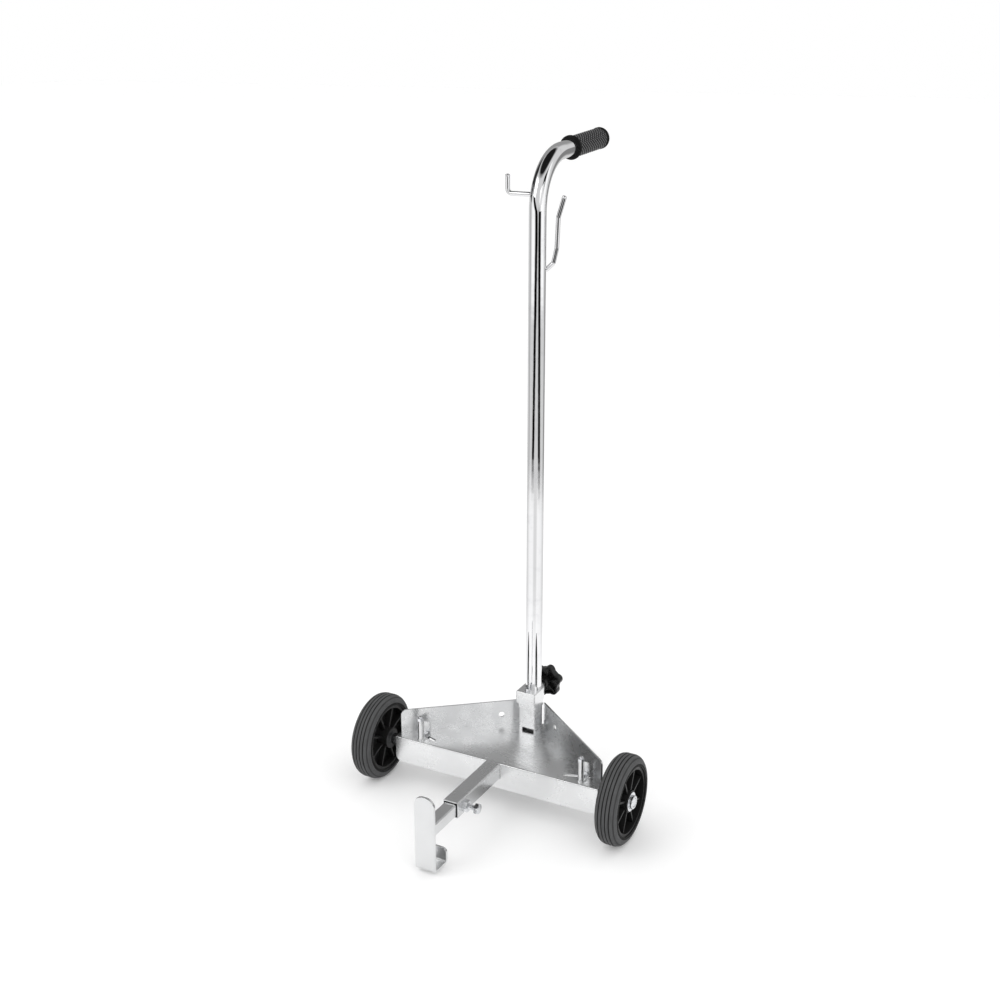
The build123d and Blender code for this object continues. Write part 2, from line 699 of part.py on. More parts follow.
# ---------------------------------------------------------------- rear castor
castor_axle_z = castor_radius
head_height = 6.0
fork_top = floor_bottom - head_height - 3.3
fork_gap = castor_width + 5
fork_sheet = 3.0
kingpin_radius = 5.0
swivel = Plane(origin=(0, castor_y, 0))
with BuildPart() as castor_head:
    with BuildSketch(swivel.offset(floor_bottom)):
        RectangleRounded(50, 40, 5)
    extrude(amount=-3)
    with BuildSketch(swivel.offset(floor_bottom - 3)):
        Circle(20)
    extrude(amount=-3)
    with BuildSketch(swivel.offset(floor_bottom - head_height)):
        Circle(kingpin_radius)
    extrude(amount=-9)
    with BuildSketch(swivel.offset(floor_bottom - head_height - 9)):
        Circle(8)
    extrude(amount=-3)
save(castor_head.part, "castor_head")

wheel_centre_y = castor_y + castor_trail
with BuildPart() as fork:
    with BuildSketch(swivel.offset(fork_top)):
        with Locations((0, 8)):
            RectangleRounded(fork_gap + 2 * fork_sheet, 46, 4)
        Circle(kingpin_radius + running_fit, mode=Mode.SUBTRACT)
    extrude(amount=fork_sheet)
    with BuildSketch(Plane.YZ.offset(-fork_gap / 2 - fork_sheet)) as leg:
        with BuildLine():
            Polyline(
                (castor_y - 15, fork_top + fork_sheet),
                (castor_y + 31, fork_top + fork_sheet),
                (wheel_centre_y + 9, castor_axle_z - 9),
                (wheel_centre_y - 9, castor_axle_z - 9),
                close=True,
            )
        make_face()
        fillet(leg.vertices().group_by(Axis.Y)[0], 6)
        with Locations((wheel_centre_y, castor_axle_z)):
            Circle(4, mode=Mode.SUBTRACT)
    extrude(amount=fork_sheet)
    mirror(about=Plane.YZ)
save(fork.part, "castor_fork")

with BuildPart() as castor_pin:
    pin_plane = Plane(
        origin=(-fork_gap / 2 - fork_sheet - 3, wheel_centre_y, castor_axle_z), z_dir=(1, 0, 0)
    )
    with BuildSketch(pin_plane):
        RegularPolygon(6.5, 6, major_radius=False)
    extrude(amount=3)
    with BuildSketch(pin_plane.offset(3)):
        Circle(4)
    extrude(amount=fork_gap + 2 * fork_sheet)
    with BuildSketch(pin_plane.offset(fork_gap + 2 * fork_sheet + 3)):
        RegularPolygon(6.5, 6, major_radius=False)
    extrude(amount=4)
save(castor_pin.part, "castor_pin")

hub_plane = Plane(origin=(0, wheel_centre_y, castor_axle_z), z_dir=(1, 0, 0))
with BuildPart() as castor_hub:
    with BuildSketch(hub_plane.offset(-castor_width / 2)):
        Circle(24)
        Circle(4 + running_fit, mode=Mode.SUBTRACT)
    extrude(amount=castor_width)
    with BuildSketch(hub_plane.offset(-castor_width / 2)):
        Circle(20)
        Circle(9, mode=Mode.SUBTRACT)
    extrude(amount=7, mode=Mode.SUBTRACT)
    with BuildSketch(hub_plane.offset(castor_width / 2)):
        Circle(20)
        Circle(9, mode=Mode.SUBTRACT)
    extrude(amount=-7, mode=Mode.SUBTRACT)
save(castor_hub.part, "castor_hub")

with BuildPart() as castor_tyre:
    with BuildSketch(hub_plane.offset(-castor_width / 2)):
        Circle(castor_radius)
        Circle(24, mode=Mode.SUBTRACT)
    extrude(amount=castor_width)
    circles = castor_tyre.edges().filter_by(GeomType.CIRCLE)
    outer = [e for e in circles if abs(e.radius - castor_radius) < 0.01]
    fillet(outer, 4)
save(castor_tyre.part, "castor_tyre")

print("axle_y", axle_y, "column_y", column_y, "castor_y", castor_y)
print("stops at", slot_start, "arm clamp", arm_clamp_y, arm_clamp_z, "knob", knob_hub_y, clamp_z)
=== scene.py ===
# %% [markdown]
# # Finishing a drum trolley
#
# A drum trolley is a low steel tray on wheels. A drum stands on the tray, a J-shaped foot on a
# telescoping arm hooks its bottom rim, and a tall chrome column steers the load. The sheet metal,
# the screws and the castor arrive as finished solids in a fixed frame, in metres. This lesson
# gives them real edges and real finishes, and makes anew whatever needs a finer surface than a
# flat-sided solid has: the mirror-bright column, the rubber, the knob and the threads.

# %% Load the frame
import json
import math

import bmesh
import bpy
import numpy as np
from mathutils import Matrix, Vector


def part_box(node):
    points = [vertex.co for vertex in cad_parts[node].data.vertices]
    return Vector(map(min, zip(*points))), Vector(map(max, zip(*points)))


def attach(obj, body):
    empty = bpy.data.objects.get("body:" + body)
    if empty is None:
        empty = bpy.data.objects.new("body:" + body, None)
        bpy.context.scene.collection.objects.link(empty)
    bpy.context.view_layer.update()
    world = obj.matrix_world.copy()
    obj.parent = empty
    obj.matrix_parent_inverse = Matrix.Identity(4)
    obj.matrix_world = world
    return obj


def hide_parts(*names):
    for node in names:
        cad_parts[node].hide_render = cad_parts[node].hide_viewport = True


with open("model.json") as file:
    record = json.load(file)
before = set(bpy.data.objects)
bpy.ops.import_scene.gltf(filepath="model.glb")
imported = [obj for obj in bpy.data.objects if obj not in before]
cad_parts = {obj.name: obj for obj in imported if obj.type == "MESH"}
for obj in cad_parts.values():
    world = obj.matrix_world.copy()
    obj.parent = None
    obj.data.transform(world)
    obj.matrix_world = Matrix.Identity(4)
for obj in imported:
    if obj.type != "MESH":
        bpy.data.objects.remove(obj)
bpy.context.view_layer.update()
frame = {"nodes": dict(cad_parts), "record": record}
nodes = frame["nodes"]
record = frame["record"]
body_of = {node: body for body, group in record["behaviour"]["bodies"].items() for node in group}
slot_of = {entry["node"]: entry["material_slot"] for entry in record["subparts"]}

# %% [markdown]
# ## Shader groups
#
# Zinc plate, chrome, rubber and nylon look different, but they share small effects: a directional
# grain, soft clouds, thin scuffs and settled dust. Each effect is a node group with named inputs
# and outputs, built once, so that every material places it with its own numbers. The groups only
# put out masks. The Principled shader that uses them stays in each material.

# %% A helper that starts a group
def start_group(name, inputs, outputs):
    """Makes an empty shader group with float inputs and outputs, and returns it with its two ends."""
    group = bpy.data.node_groups.new(name, "ShaderNodeTree")
    for label, kind, value in inputs:
        socket = group.interface.new_socket(label, in_out="INPUT", socket_type=kind)
        socket.default_value = value
    for label in outputs:
        group.interface.new_socket(label, in_out="OUTPUT", socket_type="NodeSocketFloat")
    return group, group.nodes.new("NodeGroupInput"), group.nodes.new("NodeGroupOutput")


def add_node(tree, kind, links=(), **settings):
    """Adds a node, sets its properties or input values, and links (input, output socket) pairs."""
    node = tree.nodes.new(kind)
    for key, value in settings.items():
        if hasattr(node, key):
            setattr(node, key, value)
        else:
            node.inputs[key.replace("_", " ")].default_value = value
    for socket, source in links:
        tree.links.new(source, node.inputs[socket])
    return node


# %% Directional grain
# Noise read through coordinates that are squeezed across the grain and drawn out along it.
grain_group, ends_in, ends_out = start_group(
    "Directional grain",
    [("Stretch", "NodeSocketVector", (1, 1, 1)), ("Scale", "NodeSocketFloat", 200.0)],
    ["Mask"],
)
place = add_node(grain_group, "ShaderNodeTexCoord")
drawn = add_node(
    grain_group,
    "ShaderNodeVectorMath",
    [(0, place.outputs["Object"]), (1, ends_in.outputs["Stretch"])],
    operation="MULTIPLY",
)
lines = add_node(
    grain_group,
    "ShaderNodeTexNoise",
    [("Vector", drawn.outputs[0]), ("Scale", ends_in.outputs["Scale"])],
    Detail=5.0,
    Roughness=0.62,
)
grain_group.links.new(lines.outputs["Fac"], ends_out.inputs["Mask"])

# %% Soft clouds
# Low, slow noise with its contrast raised: the uneven thickness of a plated or moulded skin.
cloud_group, ends_in, ends_out = start_group(
    "Soft clouds",
    [
        ("Scale", "NodeSocketFloat", 20.0),
        ("Low", "NodeSocketFloat", 0.35),
        ("High", "NodeSocketFloat", 0.65),
    ],
    ["Mask"],
)
place = add_node(cloud_group, "ShaderNodeTexCoord")
noise = add_node(
    cloud_group,
    "ShaderNodeTexNoise",
    [("Vector", place.outputs["Object"]), ("Scale", ends_in.outputs["Scale"])],
    Detail=4.0,
    Roughness=0.55,
)
spread = add_node(
    cloud_group,
    "ShaderNodeMapRange",
    [
        ("Value", noise.outputs["Fac"]),
        ("From Min", ends_in.outputs["Low"]),
        ("From Max", ends_in.outputs["High"]),
    ],
    interpolation_type="SMOOTHSTEP",
)
cloud_group.links.new(spread.outputs["Result"], ends_out.inputs["Mask"])

# %% Scuffs
# Thin wandering lines: the narrow band where a stretched noise crosses its middle value, kept
# only where a second, larger noise says that something has rubbed.
scuff_group, ends_in, ends_out = start_group(
    "Scuffs",
    [
        ("Stretch", "NodeSocketVector", (1, 1, 6)),
        ("Scale", "NodeSocketFloat", 60.0),
        ("Width", "NodeSocketFloat", 0.012),
    ],
    ["Mask"],
)
place = add_node(scuff_group, "ShaderNodeTexCoord")
drawn = add_node(
    scuff_group,
    "ShaderNodeVectorMath",
    [(0, place.outputs["Object"]), (1, ends_in.outputs["Stretch"])],
    operation="MULTIPLY",
)
path_noise = add_node(
    scuff_group,
    "ShaderNodeTexNoise",
    [("Vector", drawn.outputs[0]), ("Scale", ends_in.outputs["Scale"])],
    Detail=2.0,
    Distortion=0.8,
)
centred = add_node(
    scuff_group, "ShaderNodeMath", [(0, path_noise.outputs["Fac"])], operation="SUBTRACT"
)
centred.inputs[1].default_value = 0.5
distance = add_node(scuff_group, "ShaderNodeMath", [(0, centred.outputs[0])], operation="ABSOLUTE")
line = add_node(
    scuff_group,
    "ShaderNodeMapRange",
    [("Value", distance.outputs[0]), ("From Max", ends_in.outputs["Width"])],
    interpolation_type="SMOOTHSTEP",
)
line.inputs["To Min"].default_value, line.inputs["To Max"].default_value = 1.0, 0.0
patches = add_node(
    scuff_group, "ShaderNodeTexNoise", [("Vector", place.outputs["Object"])], Scale=26.0, Detail=1.0
)
rubbed = add_node(scuff_group, "ShaderNodeMapRange", [("Value", patches.outputs["Fac"])])
rubbed.inputs["From Min"].default_value, rubbed.inputs["From Max"].default_value = 0.52, 0.66
both = add_node(
    scuff_group,
    "ShaderNodeMath",
    [(0, line.outputs["Result"]), (1, rubbed.outputs["Result"])],
    operation="MULTIPLY",
)
scuff_group.links.new(both.outputs[0], ends_out.inputs["Mask"])

# %% Settled dust
# Dust lies where a surface looks up, and clings unevenly: the normal's Z times a fine noise.
dust_group, ends_in, ends_out = start_group(
    "Settled dust",
    [("Scale", "NodeSocketFloat", 90.0), ("Facing Low", "NodeSocketFloat", 0.0)],
    ["Mask"],
)
shape = add_node(dust_group, "ShaderNodeNewGeometry")
parts = add_node(dust_group, "ShaderNodeSeparateXYZ", [(0, shape.outputs["Normal"])])
upward = add_node(
    dust_group,
    "ShaderNodeMapRange",
    [("Value", parts.outputs["Z"]), ("From Min", ends_in.outputs["Facing Low"])],
)
place = add_node(dust_group, "ShaderNodeTexCoord")
specks = add_node(
    dust_group,
    "ShaderNodeTexNoise",
    [("Vector", place.outputs["Object"]), ("Scale", ends_in.outputs["Scale"])],
    Detail=6.0,
    Roughness=0.7,
)
settled = add_node(
    dust_group,
    "ShaderNodeMath",
    [(0, upward.outputs["Result"]), (1, specks.outputs["Fac"])],
    operation="MULTIPLY",
)
dust_group.links.new(settled.outputs[0], ends_out.inputs["Mask"])
print("shader groups:", [group.name for group in bpy.data.node_groups])


# %% Helpers that use the groups in a material
def start_material(name):
    """Makes a node material and returns it with its tree and its Principled shader."""
    material = bpy.data.materials.new(name)
    material.use_nodes = True
    tree = material.node_tree
    return material, tree, tree.nodes["Principled BSDF"]


def use_group(tree, group, **values):
    """Places a shader group in a material with its own input values."""
    node = tree.nodes.new("ShaderNodeGroup")
    node.node_tree = group
    for key, value in values.items():
        node.inputs[key.replace("_", " ")].default_value = value
    return node.outputs["Mask"]


def blend_values(tree, mask, low, high):
    """A number that runs from low to high as the mask runs from 0 to 1."""
    node = add_node(tree, "ShaderNodeMapRange", [("Value", mask)])
    node.inputs["To Min"].default_value, node.inputs["To Max"].default_value = low, high
    return node.outputs["Result"]


def blend_colours(tree, mask, low, high):
    """A colour that runs from low to high with the mask. Either end may be another node's socket."""
    node = add_node(tree, "ShaderNodeMix", data_type="RGBA")
    tree.links.new(mask, node.inputs["Factor"])
    for socket, value in (("A", low), ("B", high)):
        target = [s for s in node.inputs if s.name == socket and s.type == "RGBA"][0]
        if isinstance(value, bpy.types.NodeSocket):
            tree.links.new(value, target)
        else:
            target.default_value = (*value, 1.0)
    return [s for s in node.outputs if s.type == "RGBA"][0]


def add_values(tree, first, second):
    """The sum of two masks or numbers."""
    return add_node(tree, "ShaderNodeMath", [(0, first), (1, second)], operation="ADD").outputs[0]


def press_height(tree, shader, height, depth):
    """Feeds a height into a Bump node, depth in metres, and the bump into the shader's Normal."""
    bump = add_node(tree, "ShaderNodeBump", [("Height", height)], Strength=1.0, Distance=depth)
    tree.links.new(bump.outputs["Normal"], shader.inputs["Normal"])


# %% [markdown]
# ## Zinc-plated steel
#
# Bright zinc is a soft mirror. The sheet keeps a faint grain from the rolling mill, drawn out
# along the tray, and the plating is a little milky in places. One function makes the three zinc
# finishes, because sheet, bar and screws differ only in tint, softness and the way the grain runs.

# %% Zinc finishes
def make_zinc(name, tint, softness, stretch, grain_depth):
    """Plated steel: grain and clouds move the roughness, grain and scuffs press the surface."""
    material, tree, shader = start_material(name)
    grain = use_group(tree, grain_group, Stretch=stretch, Scale=260.0)
    clouds = use_group(tree, cloud_group, Scale=17.0, Low=0.32, High=0.7)
    scuffs = use_group(tree, scuff_group, Stretch=(1.0, 1.6, 3.0), Scale=22.0, Width=0.005)
    milky = tuple(0.92 * value for value in tint)
    plated = blend_colours(tree, clouds, tint, milky)
    lined = blend_colours(tree, blend_values(tree, grain, 0.0, 0.25), plated, milky)
    tree.links.new(
        blend_colours(tree, blend_values(tree, scuffs, 0.0, 0.4), lined, (0.95, 0.95, 0.96)),
        shader.inputs["Base Color"],
    )
    roughness = add_values(
        tree,
        blend_values(tree, clouds, softness, softness + 0.05),
        blend_values(tree, grain, -0.03, 0.04),
    )
    tree.links.new(roughness, shader.inputs["Roughness"])
    shader.inputs["Metallic"].default_value = 1.0
    heights = add_values(tree, grain, blend_values(tree, scuffs, 0.0, -0.15))
    press_height(tree, shader, heights, grain_depth)
    return material


finish = {
    "zinc_sheet": make_zinc("zinc_sheet", (0.85, 0.855, 0.86), 0.25, (0.10, 1.6, 1.6), 0.000004),
    "zinc_steel": make_zinc("zinc_steel", (0.76, 0.765, 0.77), 0.22, (1.6, 0.12, 1.6), 0.000005),
    "fastener_steel": make_zinc("fastener_steel", (0.80, 0.81, 0.83), 0.18, (1.0, 1.0, 1.0), 0.00001),
}

# %% [markdown]
# ## Chrome
#
# Chrome hides nothing: a tube that was bent and polished by hand has long, very shallow waves, and
# after a few seasons fine scuffs that run along it. Both are far too shallow to model, so they are
# bumps. The base stays almost white and the roughness almost nil, so the studio draws the tube.

# %% Chrome plate
chrome, tree, shader = start_material("chrome_tube")
waves = use_group(tree, cloud_group, Scale=9.0, Low=0.2, High=0.8)
haze = use_group(tree, cloud_group, Scale=55.0, Low=0.5, High=0.8)
scuffs = use_group(tree, scuff_group, Stretch=(2.2, 2.2, 0.25), Scale=120.0, Width=0.016)
specks = use_group(tree, cloud_group, Scale=420.0, Low=0.66, High=0.74)
tarnish = add_values(tree, blend_values(tree, haze, 0.0, 0.35), blend_values(tree, specks, 0.0, 0.5))
tree.links.new(
    blend_colours(tree, tarnish, (0.91, 0.91, 0.92), (0.66, 0.66, 0.68)), shader.inputs["Base Color"]
)
tree.links.new(
    add_values(tree, blend_values(tree, haze, 0.02, 0.05), blend_values(tree, scuffs, 0.0, 0.12)),
    shader.inputs["Roughness"],
)
shader.inputs["Metallic"].default_value = 1.0
press_height(tree, shader, add_values(tree, waves, blend_values(tree, scuffs, 0.0, -0.05)), 0.00018)
finish["chrome_tube"] = chrome

# %% [markdown]
# ## Rubber, nylon and brass
# Solid trolley tyres are dark grey rather than black, and dry and dusty on the tread. Moulded nylon
# is blacker, with a fine orange-peel sheen. One function makes every black finish from a colour, a
# roughness, a pebble size and an amount of dust. The ridges of the grip and the ribs of the tread
# are paler than their grooves: partly wear where hands and floors have rubbed, partly a painted
# highlight on the ridges and painted shade in the grooves.

# %% Moulded finishes
def make_moulded(name, colour, roughness, gloss, pebble_scale, pebble_depth, dust_amount, worn_and_highlit_ridge=None):
    """Rubber or plastic: fine pebbles pressed into a nearly plain colour, under a little dust.
    With a ridge colour, ridges are paler than grooves, by the piece's own attribute called relief:
    partly wear, partly a painted highlight on the ridges and painted shade in the grooves."""
    material, tree, shader = start_material(name)
    pebbles = use_group(tree, cloud_group, Scale=pebble_scale, Low=0.3, High=0.7)
    patches = use_group(tree, cloud_group, Scale=24.0, Low=0.3, High=0.7)
    dust = use_group(tree, dust_group, Scale=70.0, Facing_Low=-0.4)
    skin = blend_colours(tree, patches, colour, tuple(1.35 * value for value in colour))
    if worn_and_highlit_ridge:
        relief = add_node(tree, "ShaderNodeAttribute", attribute_name="relief").outputs["Fac"]
        streaks = use_group(tree, grain_group, Stretch=(1.0, 0.12, 0.12), Scale=420.0)
        uneven = add_node(
            tree,
            "ShaderNodeMath",
            [(0, relief), (1, blend_values(tree, streaks, 0.35, 1.3))],
            operation="MULTIPLY",
        )
        # painted highlight on the ridges and painted shade in the grooves, partly wear: the relief mask
        # blends in the paler ridge colour
        skin = blend_colours(tree, uneven.outputs[0], skin, worn_and_highlit_ridge)
    shader.inputs["Specular IOR Level"].default_value = gloss
    dusty = blend_colours(tree, blend_values(tree, dust, 0.0, dust_amount), skin, (0.42, 0.42, 0.41))
    tree.links.new(dusty, shader.inputs["Base Color"])
    tree.links.new(
        add_values(
            tree,
            blend_values(tree, patches, roughness, roughness + 0.08),
            blend_values(tree, dust, 0.0, 0.15),
        ),
        shader.inputs["Roughness"],
    )
    press_height(tree, shader, pebbles, pebble_depth)
    return material


# each finish: colour, roughness, gloss, pebble scale, pebble depth, dust, and the ridge colour (wear
# plus painted highlight)
moulded = (
    ("black_rubber", (0.002, 0.002, 0.002), 0.36, 0.22, 1900.0, 0.00005, 0.0, (0.22, 0.22, 0.225)),
    ("tyre_rubber", (0.003, 0.003, 0.003), 0.55, 0.18, 900.0, 0.00025, 0.08, (0.088, 0.089, 0.091)),
    ("rim_plastic", (0.006, 0.006, 0.006), 0.36, 0.30, 1500.0, 0.00003, 0.03, None),
    ("knob_plastic", (0.004, 0.004, 0.004), 0.20, 0.40, 1600.0, 0.00002, 0.01, None),
    ("castor_rubber", (0.024, 0.024, 0.025), 0.60, 0.35, 1300.0, 0.00006, 0.15, None),
)
for name, *values in moulded:
    finish[name] = make_moulded(name, *values)

# %% Turned brass
brass, tree, shader = start_material("pad_brass")
turning = use_group(tree, grain_group, Stretch=(3.0, 0.2, 0.2), Scale=700.0)
tree.links.new(
    blend_colours(tree, turning, (0.76, 0.58, 0.28), (0.62, 0.45, 0.20)), shader.inputs["Base Color"]
)
tree.links.new(blend_values(tree, turning, 0.22, 0.40), shader.inputs["Roughness"])
shader.inputs["Metallic"].default_value = 1.0
press_height(tree, shader, turning, 0.00002)
finish["pad_brass"] = brass
print("finishes:", sorted(finish))

# %% [markdown]
# ## Real edges on the sheet and bar
#
# A solid from a drawing has edges of no width at all. A sheared or sawn edge has a small radius
# that catches the light, and that thin bright line is most of what makes metal look like metal.
# Each steel piece is copied, its loose triangles are merged and its flat faces made whole, and a
# Bevel modifier rounds every edge sharper than the bends.

# %% Copies with rounded edges
def dress(piece, node):
    """Lets a new piece stand for a frame node: it rides on its body and takes its finish."""
    piece.data.materials.clear()
    piece.data.materials.append(finish[slot_of[node]])
    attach(piece, body_of[node])
    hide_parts(node)
    return piece


sharp_turn = math.radians(30)


def round_edges(node, width, segments=2):
    """A merged copy of a node whose edges sharper than sharp_turn are rounded to the given width."""
    mesh = bpy.data.meshes.new(node + "_edges")
    build = bmesh.new()
    build.from_mesh(nodes[node].data)
    bmesh.ops.remove_doubles(build, verts=build.verts, dist=2e-6)
    bmesh.ops.dissolve_limit(
        build, angle_limit=math.radians(0.3), verts=build.verts, edges=build.edges
    )
    build.to_mesh(mesh)
    build.free()
    for layer in [a.name for a in mesh.attributes if "normal" in a.name]:
        mesh.attributes.remove(mesh.attributes[layer])
    mesh.shade_smooth()
    mesh.set_sharp_from_angle(angle=sharp_turn)
    piece = bpy.data.objects.new(node + "_edges", mesh)
    bpy.context.scene.collection.objects.link(piece)
    bevel = piece.modifiers.new("rounded edges", "BEVEL")
    bevel.width, bevel.segments = width, segments
    bevel.limit_method, bevel.angle_limit = "ANGLE", sharp_turn
    bevel.harden_normals = True
    return dress(piece, node)


edge_widths = {
    "tray_plate": 0.0007,
    "post": 0.0004,
    "post_band": 0.0006,
    "post_collar": 0.0006,
    "arm_sleeve": 0.0004,
    "arm_tube": 0.0003,
    "arm_plug": 0.0005,
    "j_foot": 0.0009,
    "arm_nut": 0.0004,
    "knob_nut": 0.0004,
    "collar_screw": 0.0003,
    "castor_head": 0.0005,
    "castor_fork": 0.0006,
    "castor_pin": 0.0004,
    "castor_hub": 0.0006,
    "column_plug": 0.0005,
}
for side in ("left", "right"):
    for stem, width in (
        ("axle", 0.0004),
        ("axle_bracket", 0.0006),
        ("axle_spacer", 0.0004),
        ("axle_washer", 0.0004),
        ("axle_cap", 0.0005),
        ("wheel_rim", 0.0007),
        ("wheel_bush", 0.0003),
        ("drum_stop", 0.0005),
        ("stop_cap", 0.0004),
        ("stop_screw", 0.0003),
        ("stop_nut", 0.0003),
        ("rim_bolt", 0.0004),
    ):
        edge_widths[f"{stem}_{side}"] = width
for node, width in edge_widths.items():
    round_edges(node, width)
for node in ("castor_tyre", "clamp_pad", "arm_clamp_pad"):
    nodes[node].data.materials.clear()
    nodes[node].data.materials.append(finish[slot_of[node]])
print("rounded the edges of", len(edge_widths), "pieces")

# %% [markdown]
# ## Surfaces as grids
#
# Everything round is a grid of points with two parameters: how far along, and how far around. The
# whole array is computed at once and handed to a mesh. A row may shrink to one point, which closes
# an end, so the doubled corners are merged and the normals worked out again afterwards.

# %% Grid to mesh
def mesh_grid(name, points, keep=None, crease=40.0):
    """A mesh from points[row, step] with the steps closed into rings. keep masks out some quads."""
    rows, steps = points.shape[:2]
    index = np.arange(rows * steps).reshape(rows, steps)
    index = np.concatenate([index, index[:, :1]], axis=1)
    quads = np.stack([index[:-1, :-1], index[:-1, 1:], index[1:, 1:], index[1:, :-1]], axis=-1)
    quads = quads[keep] if keep is not None else quads.reshape(-1, 4)
    mesh = bpy.data.meshes.new(name)
    mesh.from_pydata(points.reshape(-1, 3).tolist(), [], quads.tolist())
    build = bmesh.new()
    build.from_mesh(mesh)
    bmesh.ops.remove_doubles(build, verts=build.verts, dist=1e-6)
    loose = [vertex for vertex in build.verts if not vertex.link_faces]
    bmesh.ops.delete(build, geom=loose, context="VERTS")
    bmesh.ops.recalc_face_normals(build, faces=build.faces)
    build.to_mesh(mesh)
    build.free()
    mesh.shade_smooth()
    mesh.set_sharp_from_angle(angle=math.radians(crease))
    piece = bpy.data.objects.new(name, mesh)
    bpy.context.scene.collection.objects.link(piece)
    return piece


def mark_relief(piece, heights):
    """Keeps a number from 0, groove, to 1, ridge, on every point: heights(points) works it out."""
    points = np.empty(3 * len(piece.data.vertices))
    piece.data.vertices.foreach_get("co", points)
    relief = piece.data.attributes.new("relief", "FLOAT", "POINT")
    relief.data.foreach_set("value", np.clip(heights(points.reshape(-1, 3)), 0, 1))


def ring_angles(count):
    """Angles once round, without the last one, which is the first again."""
    return np.linspace(0.0, 2.0 * np.pi, count, endpoint=False)


def turn_profile(centre, axis, along, radius, angles):
    """Turns a profile: each point is centre + axis * along + radius * (cos, sin) across the axis.
    along and radius may be one number per row, or tables of rows by angles."""
    axis = np.asarray(axis, float)
    first = np.cross(axis, (0.0, 0.0, 1.0) if abs(axis[2]) < 0.9 else (0.0, 1.0, 0.0))
    first /= np.linalg.norm(first)
    second = np.cross(axis, first)
    spokes = np.cos(angles)[:, None] * first + np.sin(angles)[:, None] * second
    along, radius = (
        np.broadcast_to(np.reshape(table, (len(table), -1)), (len(table), len(angles)))
        for table in (along, radius)
    )
    return np.asarray(centre) + along[..., None] * axis + radius[..., None] * spokes


def node_centre(node):
    """The middle of a frame node's box, as an array."""
    low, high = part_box(node)
    return np.array([(a + b) / 2 for a, b in zip(low, high)])


# %% [markdown]
# ## Paths with rounded corners
#
# The column and the two hooks are bent from straight stock over a former, so a path is straight
# runs joined by tangent arcs. The path is then read at chosen distances from its start, close
# together in the bends and the rounded tips, and a ring is set square to it at each one.

# %% Rounded path and swept rod
def rounded_path(corners, bend, arc_steps=14):
    """Straight runs joined by tangent arcs of radius bend. An arc starts bend * tan(turn / 2)
    before its corner, and its middle is bend away, square to the run, on the inside."""
    corners = [np.array(corner, float) for corner in corners]
    points = [corners[0]]
    for before, corner, after in zip(corners, corners[1:], corners[2:]):
        come = (corner - before) / np.linalg.norm(corner - before)
        leave = (after - corner) / np.linalg.norm(after - corner)
        turn = math.acos(float(np.clip(come @ leave, -1, 1)))
        inside = leave - (leave @ come) * come
        inside /= np.linalg.norm(inside)
        start = corner - come * bend * math.tan(turn / 2)
        sweep = np.linspace(0.0, turn, arc_steps)[:, None]
        points.extend(start + bend * (np.sin(sweep) * come + (1 - np.cos(sweep)) * inside))
    points.append(corners[-1])
    return np.array(points)


def path_distance(path):
    """The distance of each path point from the start."""
    return np.concatenate([[0.0], np.cumsum(np.linalg.norm(np.diff(path, axis=0), axis=1))])


def read_path(path, distances):
    """Points of the path at the given distances from its start."""
    marks = path_distance(path)
    return np.stack([np.interp(distances, marks, path[:, k]) for k in range(3)], axis=1)


def tip_steps(length, tip, gap):
    """Distances along a rod: close together in its two rounded tips, about gap apart between."""
    ease = tip * (1 - np.cos(np.linspace(0, np.pi / 2, 7)))
    middle = np.linspace(tip, length - tip, max(2, int(length / gap)))
    return np.concatenate([ease, middle[1:-1], length - ease[::-1]])


def sweep_ring(path, side, radius, angles):
    """Carries a circle along a flat path. side is square to the path's plane, and each ring's
    other arm is the tangent turned a quarter in that plane."""
    tangent = np.gradient(path, axis=0)
    tangent /= np.linalg.norm(tangent, axis=1)[:, None]
    side = np.asarray(side, float)
    across = np.cross(side, tangent)
    radius = np.broadcast_to(radius, len(path))[:, None, None]
    spokes = np.cos(angles)[:, None] * side + np.sin(angles)[:, None] * across[:, None, :]
    return path[:, None, :] + radius * spokes


# %% [markdown]
# ## The column
#
# The column is one 30 mm tube, bent back at the top into the handle. It mirrors the whole studio,
# so any flat in it would show as a kink in the reflections. Ninety-six steps around are smooth
# enough. A keyway is cut up its back from the bottom end, where the clamp's pad runs: the steps
# around are placed so that two of them lie on its edges, and the quads between are left out.

# %% Column tube
tube_low, tube_high = (np.array(corner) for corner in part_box("column_tube"))
tube_radius = (tube_high[0] - tube_low[0]) / 2
tube_wall = 0.002
column_y = tube_low[1] + tube_radius
column_bend = 0.093
column_straight_top = 1.048
handle_rise = math.radians(4)
handle_along = np.array([0.0, math.cos(handle_rise), math.sin(handle_rise)])
bend_turn = np.pi / 2 - handle_rise
bend_corner = np.array(
    [0.0, column_y, column_straight_top + column_bend * math.tan(bend_turn / 2)]
)
handle_start = bend_corner + handle_along * column_bend * math.tan(bend_turn / 2)
grip_from, grip_to = 0.0356, 0.1625  # distances along the handle from the end of the bend
keyway_half = 0.0042
keyway_top = 0.1675

